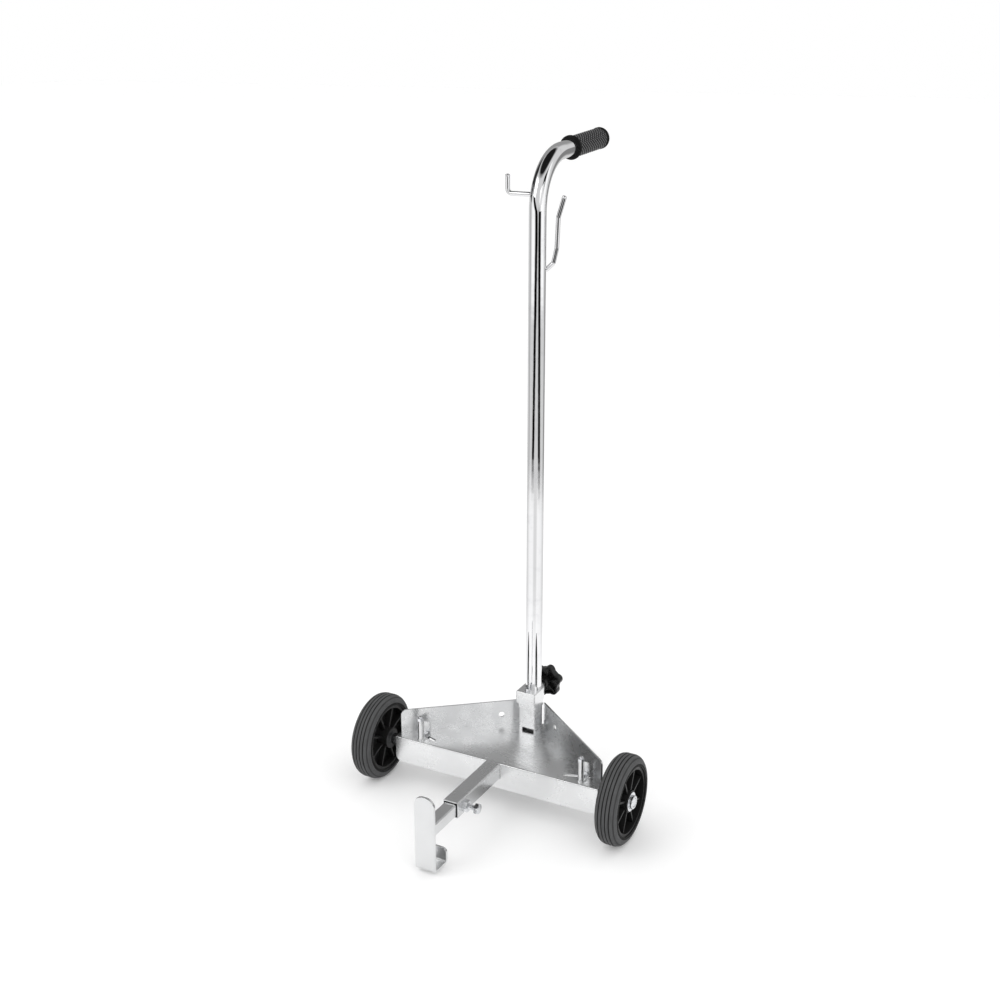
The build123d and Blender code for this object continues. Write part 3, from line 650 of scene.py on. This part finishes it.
corners = [
    (0.0, column_y, tube_low[2]),
    bend_corner,
    handle_start + handle_along * (grip_to - 0.006),
]
path = rounded_path(corners, column_bend, arc_steps=40)
length = path_distance(path)[-1]
distances = np.unique(np.concatenate([path_distance(path), np.arange(0.0, length, 0.006)]))
distances = np.unique(np.append(distances, keyway_top - tube_low[2]))
edge = math.asin(keyway_half / tube_radius)
back = np.pi / 2
keyway_steps = 8
in_key = np.linspace(back - edge, back + edge, keyway_steps + 1)
round_the_rest = np.linspace(back + edge, back + 2 * np.pi - edge, 96)[1:-1]
angles = np.concatenate([in_key, round_the_rest])
points = sweep_ring(read_path(path, distances), (-1.0, 0.0, 0.0), tube_radius, angles)
keep = np.ones((len(distances) - 1, len(angles)), bool)
in_keyway = distances[:-1] < keyway_top - tube_low[2] - 1e-6
keep[np.ix_(in_keyway, np.arange(keyway_steps))] = False
column = mesh_grid("column_skin", points, keep=keep)
wall = column.modifiers.new("tube wall", "SOLIDIFY")
wall.thickness, wall.offset = tube_wall, -1.0
dress(column, "column_tube")
print("column: tube radius", round(tube_radius, 4), "and", len(distances), "rings")

# %% [markdown]
# ## The two cable hooks
#
# Both are 8 mm rod welded to the column: a plain L on the left, and a long, lazy S on the right.
# A sawn rod has a slightly domed tip, so its last rings close in as a quarter circle does.

# %% Hooks
def make_rod(name, node, corners, bend, radius, side, start_tip, end_tip):
    """A bent rod with rounded tips: near an end the ring shrinks as a quarter circle does."""
    path = rounded_path(corners, bend)
    length = path_distance(path)[-1]
    tip = radius * 0.6
    distances = np.unique(np.concatenate([tip_steps(length, tip, 0.004), path_distance(path)]))
    shrink = np.ones(len(distances))
    if start_tip:
        shrink = np.minimum(shrink, np.sqrt(np.clip(1 - (1 - distances / tip).clip(0, 1) ** 2, 0, 1)))
    if end_tip:
        left = (length - distances) / tip
        shrink = np.minimum(shrink, np.sqrt(np.clip(1 - (1 - left).clip(0, 1) ** 2, 0, 1)))
    rings = sweep_ring(read_path(path, distances), side, radius * shrink, ring_angles(32))
    return dress(mesh_grid(name, rings), node)


hook_radius = 0.004
left_low, left_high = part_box("hook_left")
left_z = left_low[2] + hook_radius
left_y = (left_low[1] + left_high[1]) / 2
left_x = left_low[0] + hook_radius
make_rod(
    "hook_left_rod",
    "hook_left",
    [(-tube_radius + 0.001, left_y, left_z), (left_x, left_y, left_z), (left_x, left_y, left_high[2])],
    0.008,
    hook_radius,
    (0.0, 1.0, 0.0),
    True,
    True,
)

outward = np.array([math.cos(math.radians(30)), math.sin(math.radians(30)), 0.0])
lazy_s = [(0.0135, 0.9494), (0.027, 0.962), (0.0325, 0.987), (0.0345, 1.038), (0.045, 1.074)]
column_foot = np.array([0.0, column_y, 0.0])
right_corners = [column_foot + outward * reach + np.array([0, 0, height]) for reach, height in lazy_s]
make_rod(
    "hook_right_rod",
    "hook_right",
    right_corners,
    0.008,
    hook_radius,
    np.cross(outward, (0.0, 0.0, 1.0)),
    True,
    True,
)

# %% [markdown]
# ## The hand grip
#
# A push-on rubber grip has a stop flange at the hand's edge, a knurled body and a plain domed end.
# The knurl is two sets of fine ridges that cross, so the radius is a plain profile plus the sum of
# two slanting cosines, faded out at both ends.

# %% Grip
grip_low, grip_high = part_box("hand_grip")
grip_length = grip_to - grip_from
flange_radius = (grip_high[0] - grip_low[0]) / 2
body_radius = 0.0176
knurl_count, knurl_pitch, knurl_height = 18, 0.0084, 0.0012

body_start, body_end = 0.0062, grip_length - 0.009
body_rows = np.linspace(body_start, body_end, 220)
bead = np.linspace(0, np.pi, 12)
end_round = np.linspace(0, np.pi / 2, 10)
along = np.concatenate(
    [
        [0.0, 0.0, 0.0006, 0.0018, 0.0036, 0.0046, 0.005],
        body_rows,
        grip_length - 0.008 + 0.002 * bead / np.pi,
        grip_length - 0.0035 + 0.0035 * np.sin(end_round),
        [grip_length],
    ]
)
plain = np.concatenate(
    [
        [tube_radius, flange_radius - 0.0022, flange_radius - 0.0008, flange_radius, flange_radius,
         flange_radius - 0.0012, body_radius + 0.0012],
        np.full(len(body_rows), body_radius),
        body_radius + 0.0016 * (1 - np.cos(bead)) / 2,
        body_radius + 0.0016 - 0.0035 * (1 - np.cos(end_round)),
        [0.0],
    ]
)
angles = ring_angles(240)
fade = np.clip((along - body_start) / 0.003, 0, 1) * np.clip((body_end - along) / 0.003, 0, 1)
slant = 2 * np.pi * along[:, None] / knurl_pitch
ridges = np.cos(knurl_count * angles + slant) + np.cos(knurl_count * angles - slant)
radius = plain[:, None] + knurl_height * 0.5 * ridges * fade[:, None]
grip_start = handle_start + handle_along * grip_from
grip = mesh_grid("grip_rubber", turn_profile(grip_start, handle_along, along, radius, angles))


def knurl_relief(points):
    """How far a point is above the knurl's middle, from its distance to the handle's axis."""
    arm = points - np.array(grip_start)
    place = arm @ handle_along
    radial = np.linalg.norm(arm - place[:, None] * handle_along, axis=1)
    knurled = (place > body_start) & (place < body_end)
    return knurled * ((radial - body_radius) / knurl_height + 0.1)


mark_relief(grip, knurl_relief)
dress(grip, "hand_grip")
print("grip:", round(grip_length * 1000), "mm long,", knurl_count, "ridges each way")

# %% [markdown]
# ## Tyres
#
# The tyre is a solid rubber ring. Its tread is flat in the middle and falls away in a quarter
# circle at each shoulder, with rings cut into it. The profile gives the outer radius for each
# place across the width, less a smooth trough at every groove. The sidewalls carry two fine rings
# where the halves of the mould were turned.

# %% Tyre profile
wheel_radius = 0.080
bead_radius = 0.061
half_width = 0.020
shoulder = 0.014
tread_grooves = (-0.0165, -0.0099, -0.0033, 0.0033, 0.0099, 0.0165)
side_rings = (0.0640, 0.0655)


def trough(place, centre, width):
    """1 in the middle of a groove, 0 outside it, with sides that slope like a cosine."""
    return 0.5 + 0.5 * np.cos(np.pi * np.clip(np.abs(place - centre) / width, 0, 1))


flat = half_width - shoulder
shoulder_angle = np.linspace(0, np.pi / 2, 40)
across_half = np.concatenate([np.linspace(0, flat, 26)[:-1], flat + shoulder * np.sin(shoulder_angle)])
across = np.concatenate([-across_half[::-1][:-1], across_half])
outside = np.clip(np.abs(across) - flat, 0, shoulder)
tread = wheel_radius - shoulder + np.sqrt(shoulder**2 - outside**2)
for groove in tread_grooves:
    depth = 0.0017 if abs(groove) < 0.012 else 0.0008
    tread = tread - depth * trough(across, groove, 0.0013)
wall_down = np.linspace(wheel_radius - shoulder, bead_radius, 40)
wall_dent = sum(0.0006 * trough(wall_down, ring, 0.0007) for ring in side_rings)
profile_along = np.concatenate([-(half_width - wall_dent)[::-1], across, half_width - wall_dent])
profile_radius = np.concatenate([wall_down[::-1], tread, wall_down])
bore_along = np.linspace(half_width, -half_width, 6)
profile_along = np.concatenate([profile_along, bore_along[1:]])
profile_radius = np.concatenate([profile_radius, np.full(5, bead_radius)])


def tread_relief(points):
    """1 on the ribs of the tread, 0 in its grooves and on most of the sidewall."""
    place = points[:, 0] - centre[0]
    radial = np.hypot(points[:, 1] - centre[1], points[:, 2] - centre[2])
    outside = np.clip(np.abs(place) - flat, 0, shoulder)
    plain = wheel_radius - shoulder + np.sqrt(shoulder**2 - outside**2)
    return 1 - (plain - radial) / 0.0011


for side in ("left", "right"):
    centre = node_centre(f"tyre_{side}")
    rings = turn_profile(centre, (1, 0, 0), profile_along, profile_radius, ring_angles(160))
    tyre = mesh_grid(f"tyre_{side}_tread", rings)
    mark_relief(tyre, tread_relief)
    dress(tyre, f"tyre_{side}")
print("tyre profile:", len(profile_along), "points round,", len(tread_grooves), "grooves")

# %% [markdown]
# ## The star knob
#
# A star knob is a disc with six round lobes. Both shapes have a simple radius for each angle, so
# the outline is the larger of the two, blended where they cross. The side towards the collar is
# hollow between the hub and the rim. There the depth of a row changes with the angle as well, and
# so six ribs stay standing, one in the middle of each lobe.

# %% Knob
knob_low, knob_high = (np.array(corner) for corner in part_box("clamp_knob"))
knob_middle = node_centre("clamp_knob")
hub_radius, hub_length = 0.010, 0.0135
disc_radius, lobe_reach, lobe_radius, lobes = 0.026, 0.023, 0.0085, 6
first_lobe = math.radians(-15)
knob_wall, pocket_depth, rib_half = 0.003, 0.008, 0.0012
angles = ring_angles(288)
turn = (angles - first_lobe + np.pi / lobes) % (2 * np.pi / lobes) - np.pi / lobes


def star_radius(shrink):
    """The outline's radius for each angle. A circle at distance c with radius r, seen at angle a
    from its own direction, ends at c * cos(a) + sqrt(r * r - (c * sin(a)) ** 2)."""
    inside = (lobe_radius - shrink) ** 2 - (lobe_reach * np.sin(turn)) ** 2
    lobe = np.where(inside > 0, lobe_reach * np.cos(turn) + np.sqrt(inside.clip(0)), 0.0)
    disc = disc_radius - shrink
    blend = np.clip(0.004 - np.abs(lobe - disc), 0, None)
    return np.maximum(lobe, disc) + blend**2 / 0.016


outer, inner = star_radius(0.0), star_radius(knob_wall)
plain = np.ones(len(angles))
depth = knob_high[1] - knob_low[1]


def pocket_floor(radius):
    """How deep the pocket is at this radius: shallow within rib_half of a lobe's middle line."""
    from_rib = np.abs(np.sin(turn)) * radius
    open_share = np.clip((from_rib - rib_half) / 0.0004, 0, 1)
    return hub_length + 0.0004 + (pocket_depth - 0.0004) * open_share


bore_radius, bore_depth = 0.0051, 0.0195
rows = [(bore_depth, 0.0), (bore_depth, bore_radius), (0.0, bore_radius), (0.0, hub_radius - 0.0008)]
rows += [(0.0008, hub_radius), (hub_length, hub_radius), (pocket_floor(hub_radius), hub_radius)]
rows += [(pocket_floor(radius), radius) for radius in np.linspace(hub_radius + 0.0004, 0.020, 8)]
rows += [(pocket_floor(inner), inner - 0.0003), (hub_length + 0.0004, inner)]
rows += [(hub_length, inner + 0.0004), (hub_length, outer - 0.0010)]
front_round, back_round = 0.001, 0.003
for t in np.linspace(0, np.pi / 2, 5):
    rows.append((hub_length + front_round * (1 - math.cos(t)), outer - front_round * (1 - math.sin(t))))
for t in np.linspace(0, np.pi / 2, 9):
    rows.append((depth - back_round * (1 - math.sin(t)), outer - back_round * (1 - math.cos(t))))
rows += [(depth, outer - 0.006), (depth - 0.0008, 0.0120), (depth - 0.0008, 0.0105)]
rows += [(depth, 0.0095), (depth, 0.0)]
knob_along = np.array([place * plain for place, _ in rows])
knob_radius = np.array([radius * plain for _, radius in rows])
hub_face = (knob_middle[0], knob_low[1], knob_middle[2])
knob_points = turn_profile(hub_face, (0, 1, 0), knob_along, knob_radius, angles)
dress(mesh_grid("knob_star", knob_points, crease=50.0), "clamp_knob")
print("knob:", round(2000 * float(outer.max())), "mm across its lobes")

# %% [markdown]
# ## Threads
#
# A thread is a rod whose radius rises and falls once every pitch, with a phase that turns once as
# it goes round. The saw-tooth wave of that phase gives the V flanks. The arm's clamp screw carries
# on into a hexagon head: the flats come from the apothem over the cosine of the angle to the
# nearest flat.

# %% Threaded rod with an optional hexagon head
thread_pitch, thread_depth = 0.0015, 0.00075
thread_radius = 0.00495


def make_thread(name, node, start, axis, length, radius, head_apothem=0.0, head_height=0.0):
    """Thread rows, then head rows, all on the same angles, so one grid makes the whole screw."""
    angles = ring_angles(96)
    along = np.linspace(0.0006, length, int(length / thread_pitch * 10))
    phase = (along[:, None] / thread_pitch - angles / (2 * np.pi)) % 1.0
    cut = thread_depth * np.abs(2 * phase - 1)
    runout = np.clip(1 - along / 0.0015, 0, 1)[:, None] * 0.0006
    rows = [np.zeros(len(angles)), np.full(len(angles), radius - 0.0013)]
    places = [0.0, 0.0]
    thread = radius - cut - runout
    if head_apothem:
        flat_angle = (angles + np.pi / 6) % (np.pi / 3) - np.pi / 6
        hexagon = head_apothem / np.cos(flat_angle)
        round_top = np.minimum(hexagon, head_apothem * 1.02)
        head = [
            (length, hexagon * 0.97),
            (length + 0.0003, hexagon),
            (length + head_height - 0.0011, hexagon),
            (length + head_height - 0.0003, round_top),
            (length + head_height, head_apothem * 0.95 * np.ones(len(angles))),
            (length + head_height, np.zeros(len(angles))),
        ]
    else:
        head = [(length, np.zeros(len(angles)))]
    places = np.concatenate([places, along, [place for place, _ in head]])
    table = np.concatenate([np.array(rows), thread, np.array([row for _, row in head])])
    rings = turn_profile(start, axis, places, table, angles)
    return dress(mesh_grid(name, rings, crease=35.0), node)


screw_low, screw_high = (np.array(corner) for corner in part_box("arm_clamp_screw"))
screw_middle = node_centre("arm_clamp_screw")
head_height = 0.007
make_thread(
    "arm_screw_thread",
    "arm_clamp_screw",
    (screw_low[0], screw_middle[1], screw_middle[2]),
    (1, 0, 0),
    screw_high[0] - screw_low[0] - head_height,
    thread_radius,
    0.0085,
    head_height,
)
stud_low, stud_high = (np.array(corner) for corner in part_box("clamp_stud"))
stud_middle = node_centre("clamp_stud")
make_thread(
    "clamp_stud_thread",
    "clamp_stud",
    (stud_middle[0], stud_low[1], stud_middle[2]),
    (0, 1, 0),
    stud_high[1] - stud_low[1],
    thread_radius,
)

# %% [markdown]
# ## Weld beads
#
# The trolley is welded, and a weld is a row of overlapping puddles. A bead is a thin rod laid in
# the corner between two pieces, whose radius ripples once per puddle. Each bead rides on the body
# that carries both its pieces.

# %% Beads
def lay_bead(name, corners, size, body, side, bend=0.003):
    """A rippled rod in the corner between two pieces: radius = size * (1 + 0.16 * cosine)."""
    path = rounded_path(corners, bend, arc_steps=8)
    length = path_distance(path)[-1]
    distances = np.linspace(0, length, int(length / 0.00035))
    ripple = 1 + 0.16 * np.cos(2 * np.pi * distances / 0.0021)
    taper = np.sqrt(np.clip(np.minimum(distances, length - distances) / (1.5 * size), 0, 1))
    rings = sweep_ring(read_path(path, distances), side, size * ripple * taper, ring_angles(14))
    bead = mesh_grid(name, rings, crease=60.0)
    bead.data.materials.append(finish["zinc_steel"])
    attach(bead, body)
    return bead


sleeve_low, sleeve_high = (np.array(corner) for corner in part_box("arm_sleeve"))
root_y = sleeve_high[1]
lay_bead(
    "weld_sleeve",
    [
        (sleeve_low[0], root_y, sleeve_high[2] - 0.004),
        (sleeve_low[0], root_y, sleeve_low[2]),
        (sleeve_high[0], root_y, sleeve_low[2]),
        (sleeve_high[0], root_y, sleeve_high[2] - 0.004),
    ],
    0.0017,
    "chassis",
    (0.0, 1.0, 0.0),
)
post_low, post_high = (np.array(corner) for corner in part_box("post"))
for side, name in ((-1, "left"), (1, "right")):
    post_x = side * post_high[0]
    lay_bead(
        f"weld_post_{name}",
        [(post_x, post_low[1] + 0.003, post_low[2]), (post_x, column_y, post_low[2])],
        0.0013,
        "chassis",
        (0.0, 0.0, 1.0),
    )
arm_low, arm_high = (np.array(corner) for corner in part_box("arm_tube"))
lay_bead(
    "weld_foot",
    [
        (arm_low[0], arm_low[1], arm_high[2]),
        (arm_low[0], arm_low[1], arm_low[2]),
        (arm_high[0], arm_low[1], arm_low[2]),
        (arm_high[0], arm_low[1], arm_high[2]),
        (arm_low[0] + 0.001, arm_low[1], arm_high[2]),
    ],
    0.0015,
    "arm",
    (0.0, 1.0, 0.0),
)
print("welds laid")

# %% [markdown]
# ## Camera
#
# The camera stands to the right of the arm and a little above the grip, and looks down on the tray
# at about nineteen degrees, with a lens close to a normal one. It is placed by an aim point, a
# distance and two angles, so that each can be changed alone.

# %% Camera
azimuth, elevation = math.radians(28.05), math.radians(18.63)
aim = Vector((-0.0353, 0.0070, 0.5550))
camera_distance = 2.4274
toward_camera = Vector(
    (
        math.sin(azimuth) * math.cos(elevation),
        -math.cos(azimuth) * math.cos(elevation),
        math.sin(elevation),
    )
)
lens = bpy.data.cameras.new("camera")
lens.lens, lens.sensor_width = 49.89, 36.0
camera = bpy.data.objects.new("camera", lens)
camera.location = aim + toward_camera * camera_distance
camera.rotation_mode = "QUATERNION"
camera.rotation_quaternion = (-toward_camera).to_track_quat("-Z", "Y")
bpy.context.scene.collection.objects.link(camera)
bpy.context.scene.camera = camera

# %% [markdown]
# ## Studio
#
# Bright metal shows its surroundings, so the studio is half of its look. The room is a middling
# grey with white panels and dark flags, each a soft-edged band of compass directions between two
# heights. They are part of the world's shader and only mirrors see them, so they cast no shadow.
# The flags lean apart towards the floor, as the sides of a doorway do in a bent reflection.

# %% World with panels and flags
world = bpy.data.worlds.new("studio")
bpy.context.scene.world = world
world.use_nodes = True
tree = world.node_tree
tree.nodes.clear()
direction = add_node(tree, "ShaderNodeTexCoord").outputs["Generated"]
parts = add_node(tree, "ShaderNodeSeparateXYZ", [(0, direction)]).outputs


def calculate(tree, operation, *values):
    """One Math node. Each value is a number or another node's socket."""
    node = tree.nodes.new("ShaderNodeMath")
    node.operation = operation
    for socket, value in zip(node.inputs, values):
        if isinstance(value, bpy.types.NodeSocket):
            tree.links.new(value, socket)
        else:
            socket.default_value = value
    return node.outputs[0]


def ramp(tree, value, start, end):
    """0 at start and 1 at end, with a smooth step between. end may be below start."""
    node = add_node(tree, "ShaderNodeMapRange", [("Value", value)], interpolation_type="SMOOTHSTEP")
    node.inputs["From Min"].default_value = min(start, end)
    node.inputs["From Max"].default_value = max(start, end)
    if end < start:
        node.inputs["To Min"].default_value, node.inputs["To Max"].default_value = 1.0, 0.0
    return node.outputs["Result"]


def heading_from_camera(tree, x, y):
    """The compass direction of (x, y), in degrees to the right of the camera's own."""
    turned = calculate(tree, "ARCTAN2", x, calculate(tree, "MULTIPLY", y, -1.0))
    return calculate(tree, "SUBTRACT", calculate(tree, "DEGREES", turned), math.degrees(azimuth))


def near_heading(tree, heading, turn, inner, outer):
    """1 within inner degrees of the heading turn, 0 beyond outer."""
    offset = calculate(tree, "WRAP", calculate(tree, "SUBTRACT", heading, turn), 180.0, -180.0)
    return ramp(tree, calculate(tree, "ABSOLUTE", offset), outer, inner)


def move_towards(tree, current, mask, level):
    """current + mask * (level - current)."""
    step = calculate(tree, "SUBTRACT", level, current)
    return calculate(tree, "MULTIPLY_ADD", mask, step, current)


heading = heading_from_camera(tree, parts["X"], parts["Y"])
height = calculate(tree, "DEGREES", calculate(tree, "ARCSINE", parts["Z"]))
waist = -8.0  # the height at which the two flags come nearest to each other
above = calculate(tree, "MAXIMUM", calculate(tree, "SUBTRACT", height, waist), 0.0)
below = calculate(tree, "MINIMUM", calculate(tree, "SUBTRACT", height, waist), 0.0)

# each band: its heading at the waist, degrees it shifts per degree of height below and above
# that, half-widths of its core and of its soft edge, its lowest and highest edge, and its light
bands = (
    (-60.0, 0.0, 0.0, 14, 28, -10.5, 35, 1.00),
    (66.0, 0.0, 0.0, 16, 30, -10.5, 35, 1.00),
    (126.0, 0.0, 0.0, 6, 24, -24, 8, 0.22),
    (-108.0, 0.0, 0.0, 4, 16, -24, 8, 0.40),
    (22.0, 0.0, 0.0, 14, 34, 6, 50, 0.66),
    (-16.0, 2.6, -1.9, 10, 22, -24, 32, 0.0),
    (24.0, -2.2, 0.67, 10, 23, -24, 40, 0.0),
    (-134.0, 0.0, 0.0, 24, 46, 4, 46, 0.02),
    (180.0, 0.0, 0.0, 26, 48, 4, 50, 0.30),
)
light = 0.64
for turn, lean_below, lean_above, inner, outer, low, high, level in bands:
    centre = calculate(tree, "MULTIPLY_ADD", below, lean_below, turn)
    centre = calculate(tree, "MULTIPLY_ADD", above, lean_above, centre)
    mask = near_heading(tree, heading, centre, inner, outer)
    mask = calculate(tree, "MULTIPLY", mask, ramp(tree, height, low - 1.5, low + 1.0))
    mask = calculate(tree, "MULTIPLY", mask, ramp(tree, height, high + 3.0, high - 1.0))
    light = move_towards(tree, light, mask, level)
light = move_towards(tree, light, ramp(tree, height, 48, 62), 0.01)
mirrored = add_node(tree, "ShaderNodeBackground", [("Color", light)], Strength=1.05)
soft_sky = add_node(tree, "ShaderNodeBackground", Color=(1, 1, 1, 1), Strength=1.0)
seen = add_node(tree, "ShaderNodeLightPath").outputs["Is Glossy Ray"]
mixed = add_node(
    tree, "ShaderNodeMixShader", [(0, seen), (1, soft_sky.outputs[0]), (2, mirrored.outputs[0])]
)
add_node(tree, "ShaderNodeOutputWorld", [("Surface", mixed.outputs[0])])

# %% [markdown]
# ## Floor and lights
#
# The paper floor runs on out of sight, so that it has no edge behind the trolley. In the metal it
# ends after a few paces, as a real roll of paper does, and there the room begins: that is why the
# column is light below and striped above. Mirrors also see it a little darker straight ahead and
# behind, where the lamps don't reach it, and darker again in the shade under the tray.

# %% Floor and lights
floor_size, paper_reach = 30.0, 1.75
floor_mesh = bpy.data.meshes.new("floor")
floor_corners = [(x * floor_size, y * floor_size, 0) for x, y in ((-1, -1), (1, -1), (1, 1), (-1, 1))]
floor_mesh.from_pydata(floor_corners, [], [(0, 1, 2, 3)])
floor = bpy.data.objects.new("floor", floor_mesh)
bpy.context.scene.collection.objects.link(floor)
paper, tree, shader = start_material("floor_paper")
place = add_node(tree, "ShaderNodeTexCoord").outputs["Object"]
parts = add_node(tree, "ShaderNodeSeparateXYZ", [(0, place)]).outputs
reach = add_node(tree, "ShaderNodeVectorMath", [(0, place)], operation="LENGTH").outputs["Value"]
seen = add_node(tree, "ShaderNodeLightPath").outputs["Is Glossy Ray"]
heading = heading_from_camera(tree, parts["X"], parts["Y"])
away = ramp(tree, reach, 0.35, 1.0)
ahead = calculate(tree, "MULTIPLY", near_heading(tree, heading, 0.0, 12, 34), away)
behind = calculate(tree, "MULTIPLY", near_heading(tree, heading, 180.0, 50, 100), away)
level = move_towards(tree, 0.93, calculate(tree, "MULTIPLY", away, seen), 0.80)
level = move_towards(tree, level, calculate(tree, "MULTIPLY", ahead, seen), 0.58)
level = move_towards(tree, level, calculate(tree, "MULTIPLY", behind, seen), 0.58)
from_middle = add_node(tree, "ShaderNodeVectorMath", [(0, place)], operation="DISTANCE")
from_middle.inputs[1].default_value = (0.0, 0.06, 0.0)
under = calculate(tree, "MULTIPLY", ramp(tree, from_middle.outputs["Value"], 0.185, 0.12), seen)
level = move_towards(tree, level, under, 0.22)
tree.links.new(level, shader.inputs["Base Color"])
shader.inputs["Roughness"].default_value = 0.9
shader.inputs["Specular IOR Level"].default_value = 0.2
shader.inputs["Emission Color"].default_value = (1, 1, 1, 1)
shader.inputs["Emission Strength"].default_value = 0.10
beyond = calculate(tree, "MULTIPLY", ramp(tree, reach, paper_reach - 0.3, paper_reach + 0.3), seen)
clear = add_node(tree, "ShaderNodeBsdfTransparent")
ends = add_node(
    tree, "ShaderNodeMixShader", [(0, beyond), (1, shader.outputs[0]), (2, clear.outputs[0])]
)
tree.links.new(ends.outputs[0], tree.nodes["Material Output"].inputs["Surface"])
floor_mesh.materials.append(paper)


def add_softbox(name, place, size, power):
    """A square soft light that faces the middle of the trolley."""
    light = bpy.data.lights.new(name, "AREA")
    light.size, light.energy = size, power
    lamp = bpy.data.objects.new(name, light)
    lamp.location = place
    lamp.rotation_mode = "QUATERNION"
    lamp.rotation_quaternion = (aim - Vector(place)).to_track_quat("-Z", "Y")
    bpy.context.scene.collection.objects.link(lamp)
    return lamp


add_softbox("key", (-1.6, -2.2, 2.8), 1.8, 14)
add_softbox("fill", (2.4, -1.2, 1.6), 1.8, 8)
bpy.context.scene.view_settings.view_transform = "Standard"
bpy.context.scene.view_settings.look = "None"
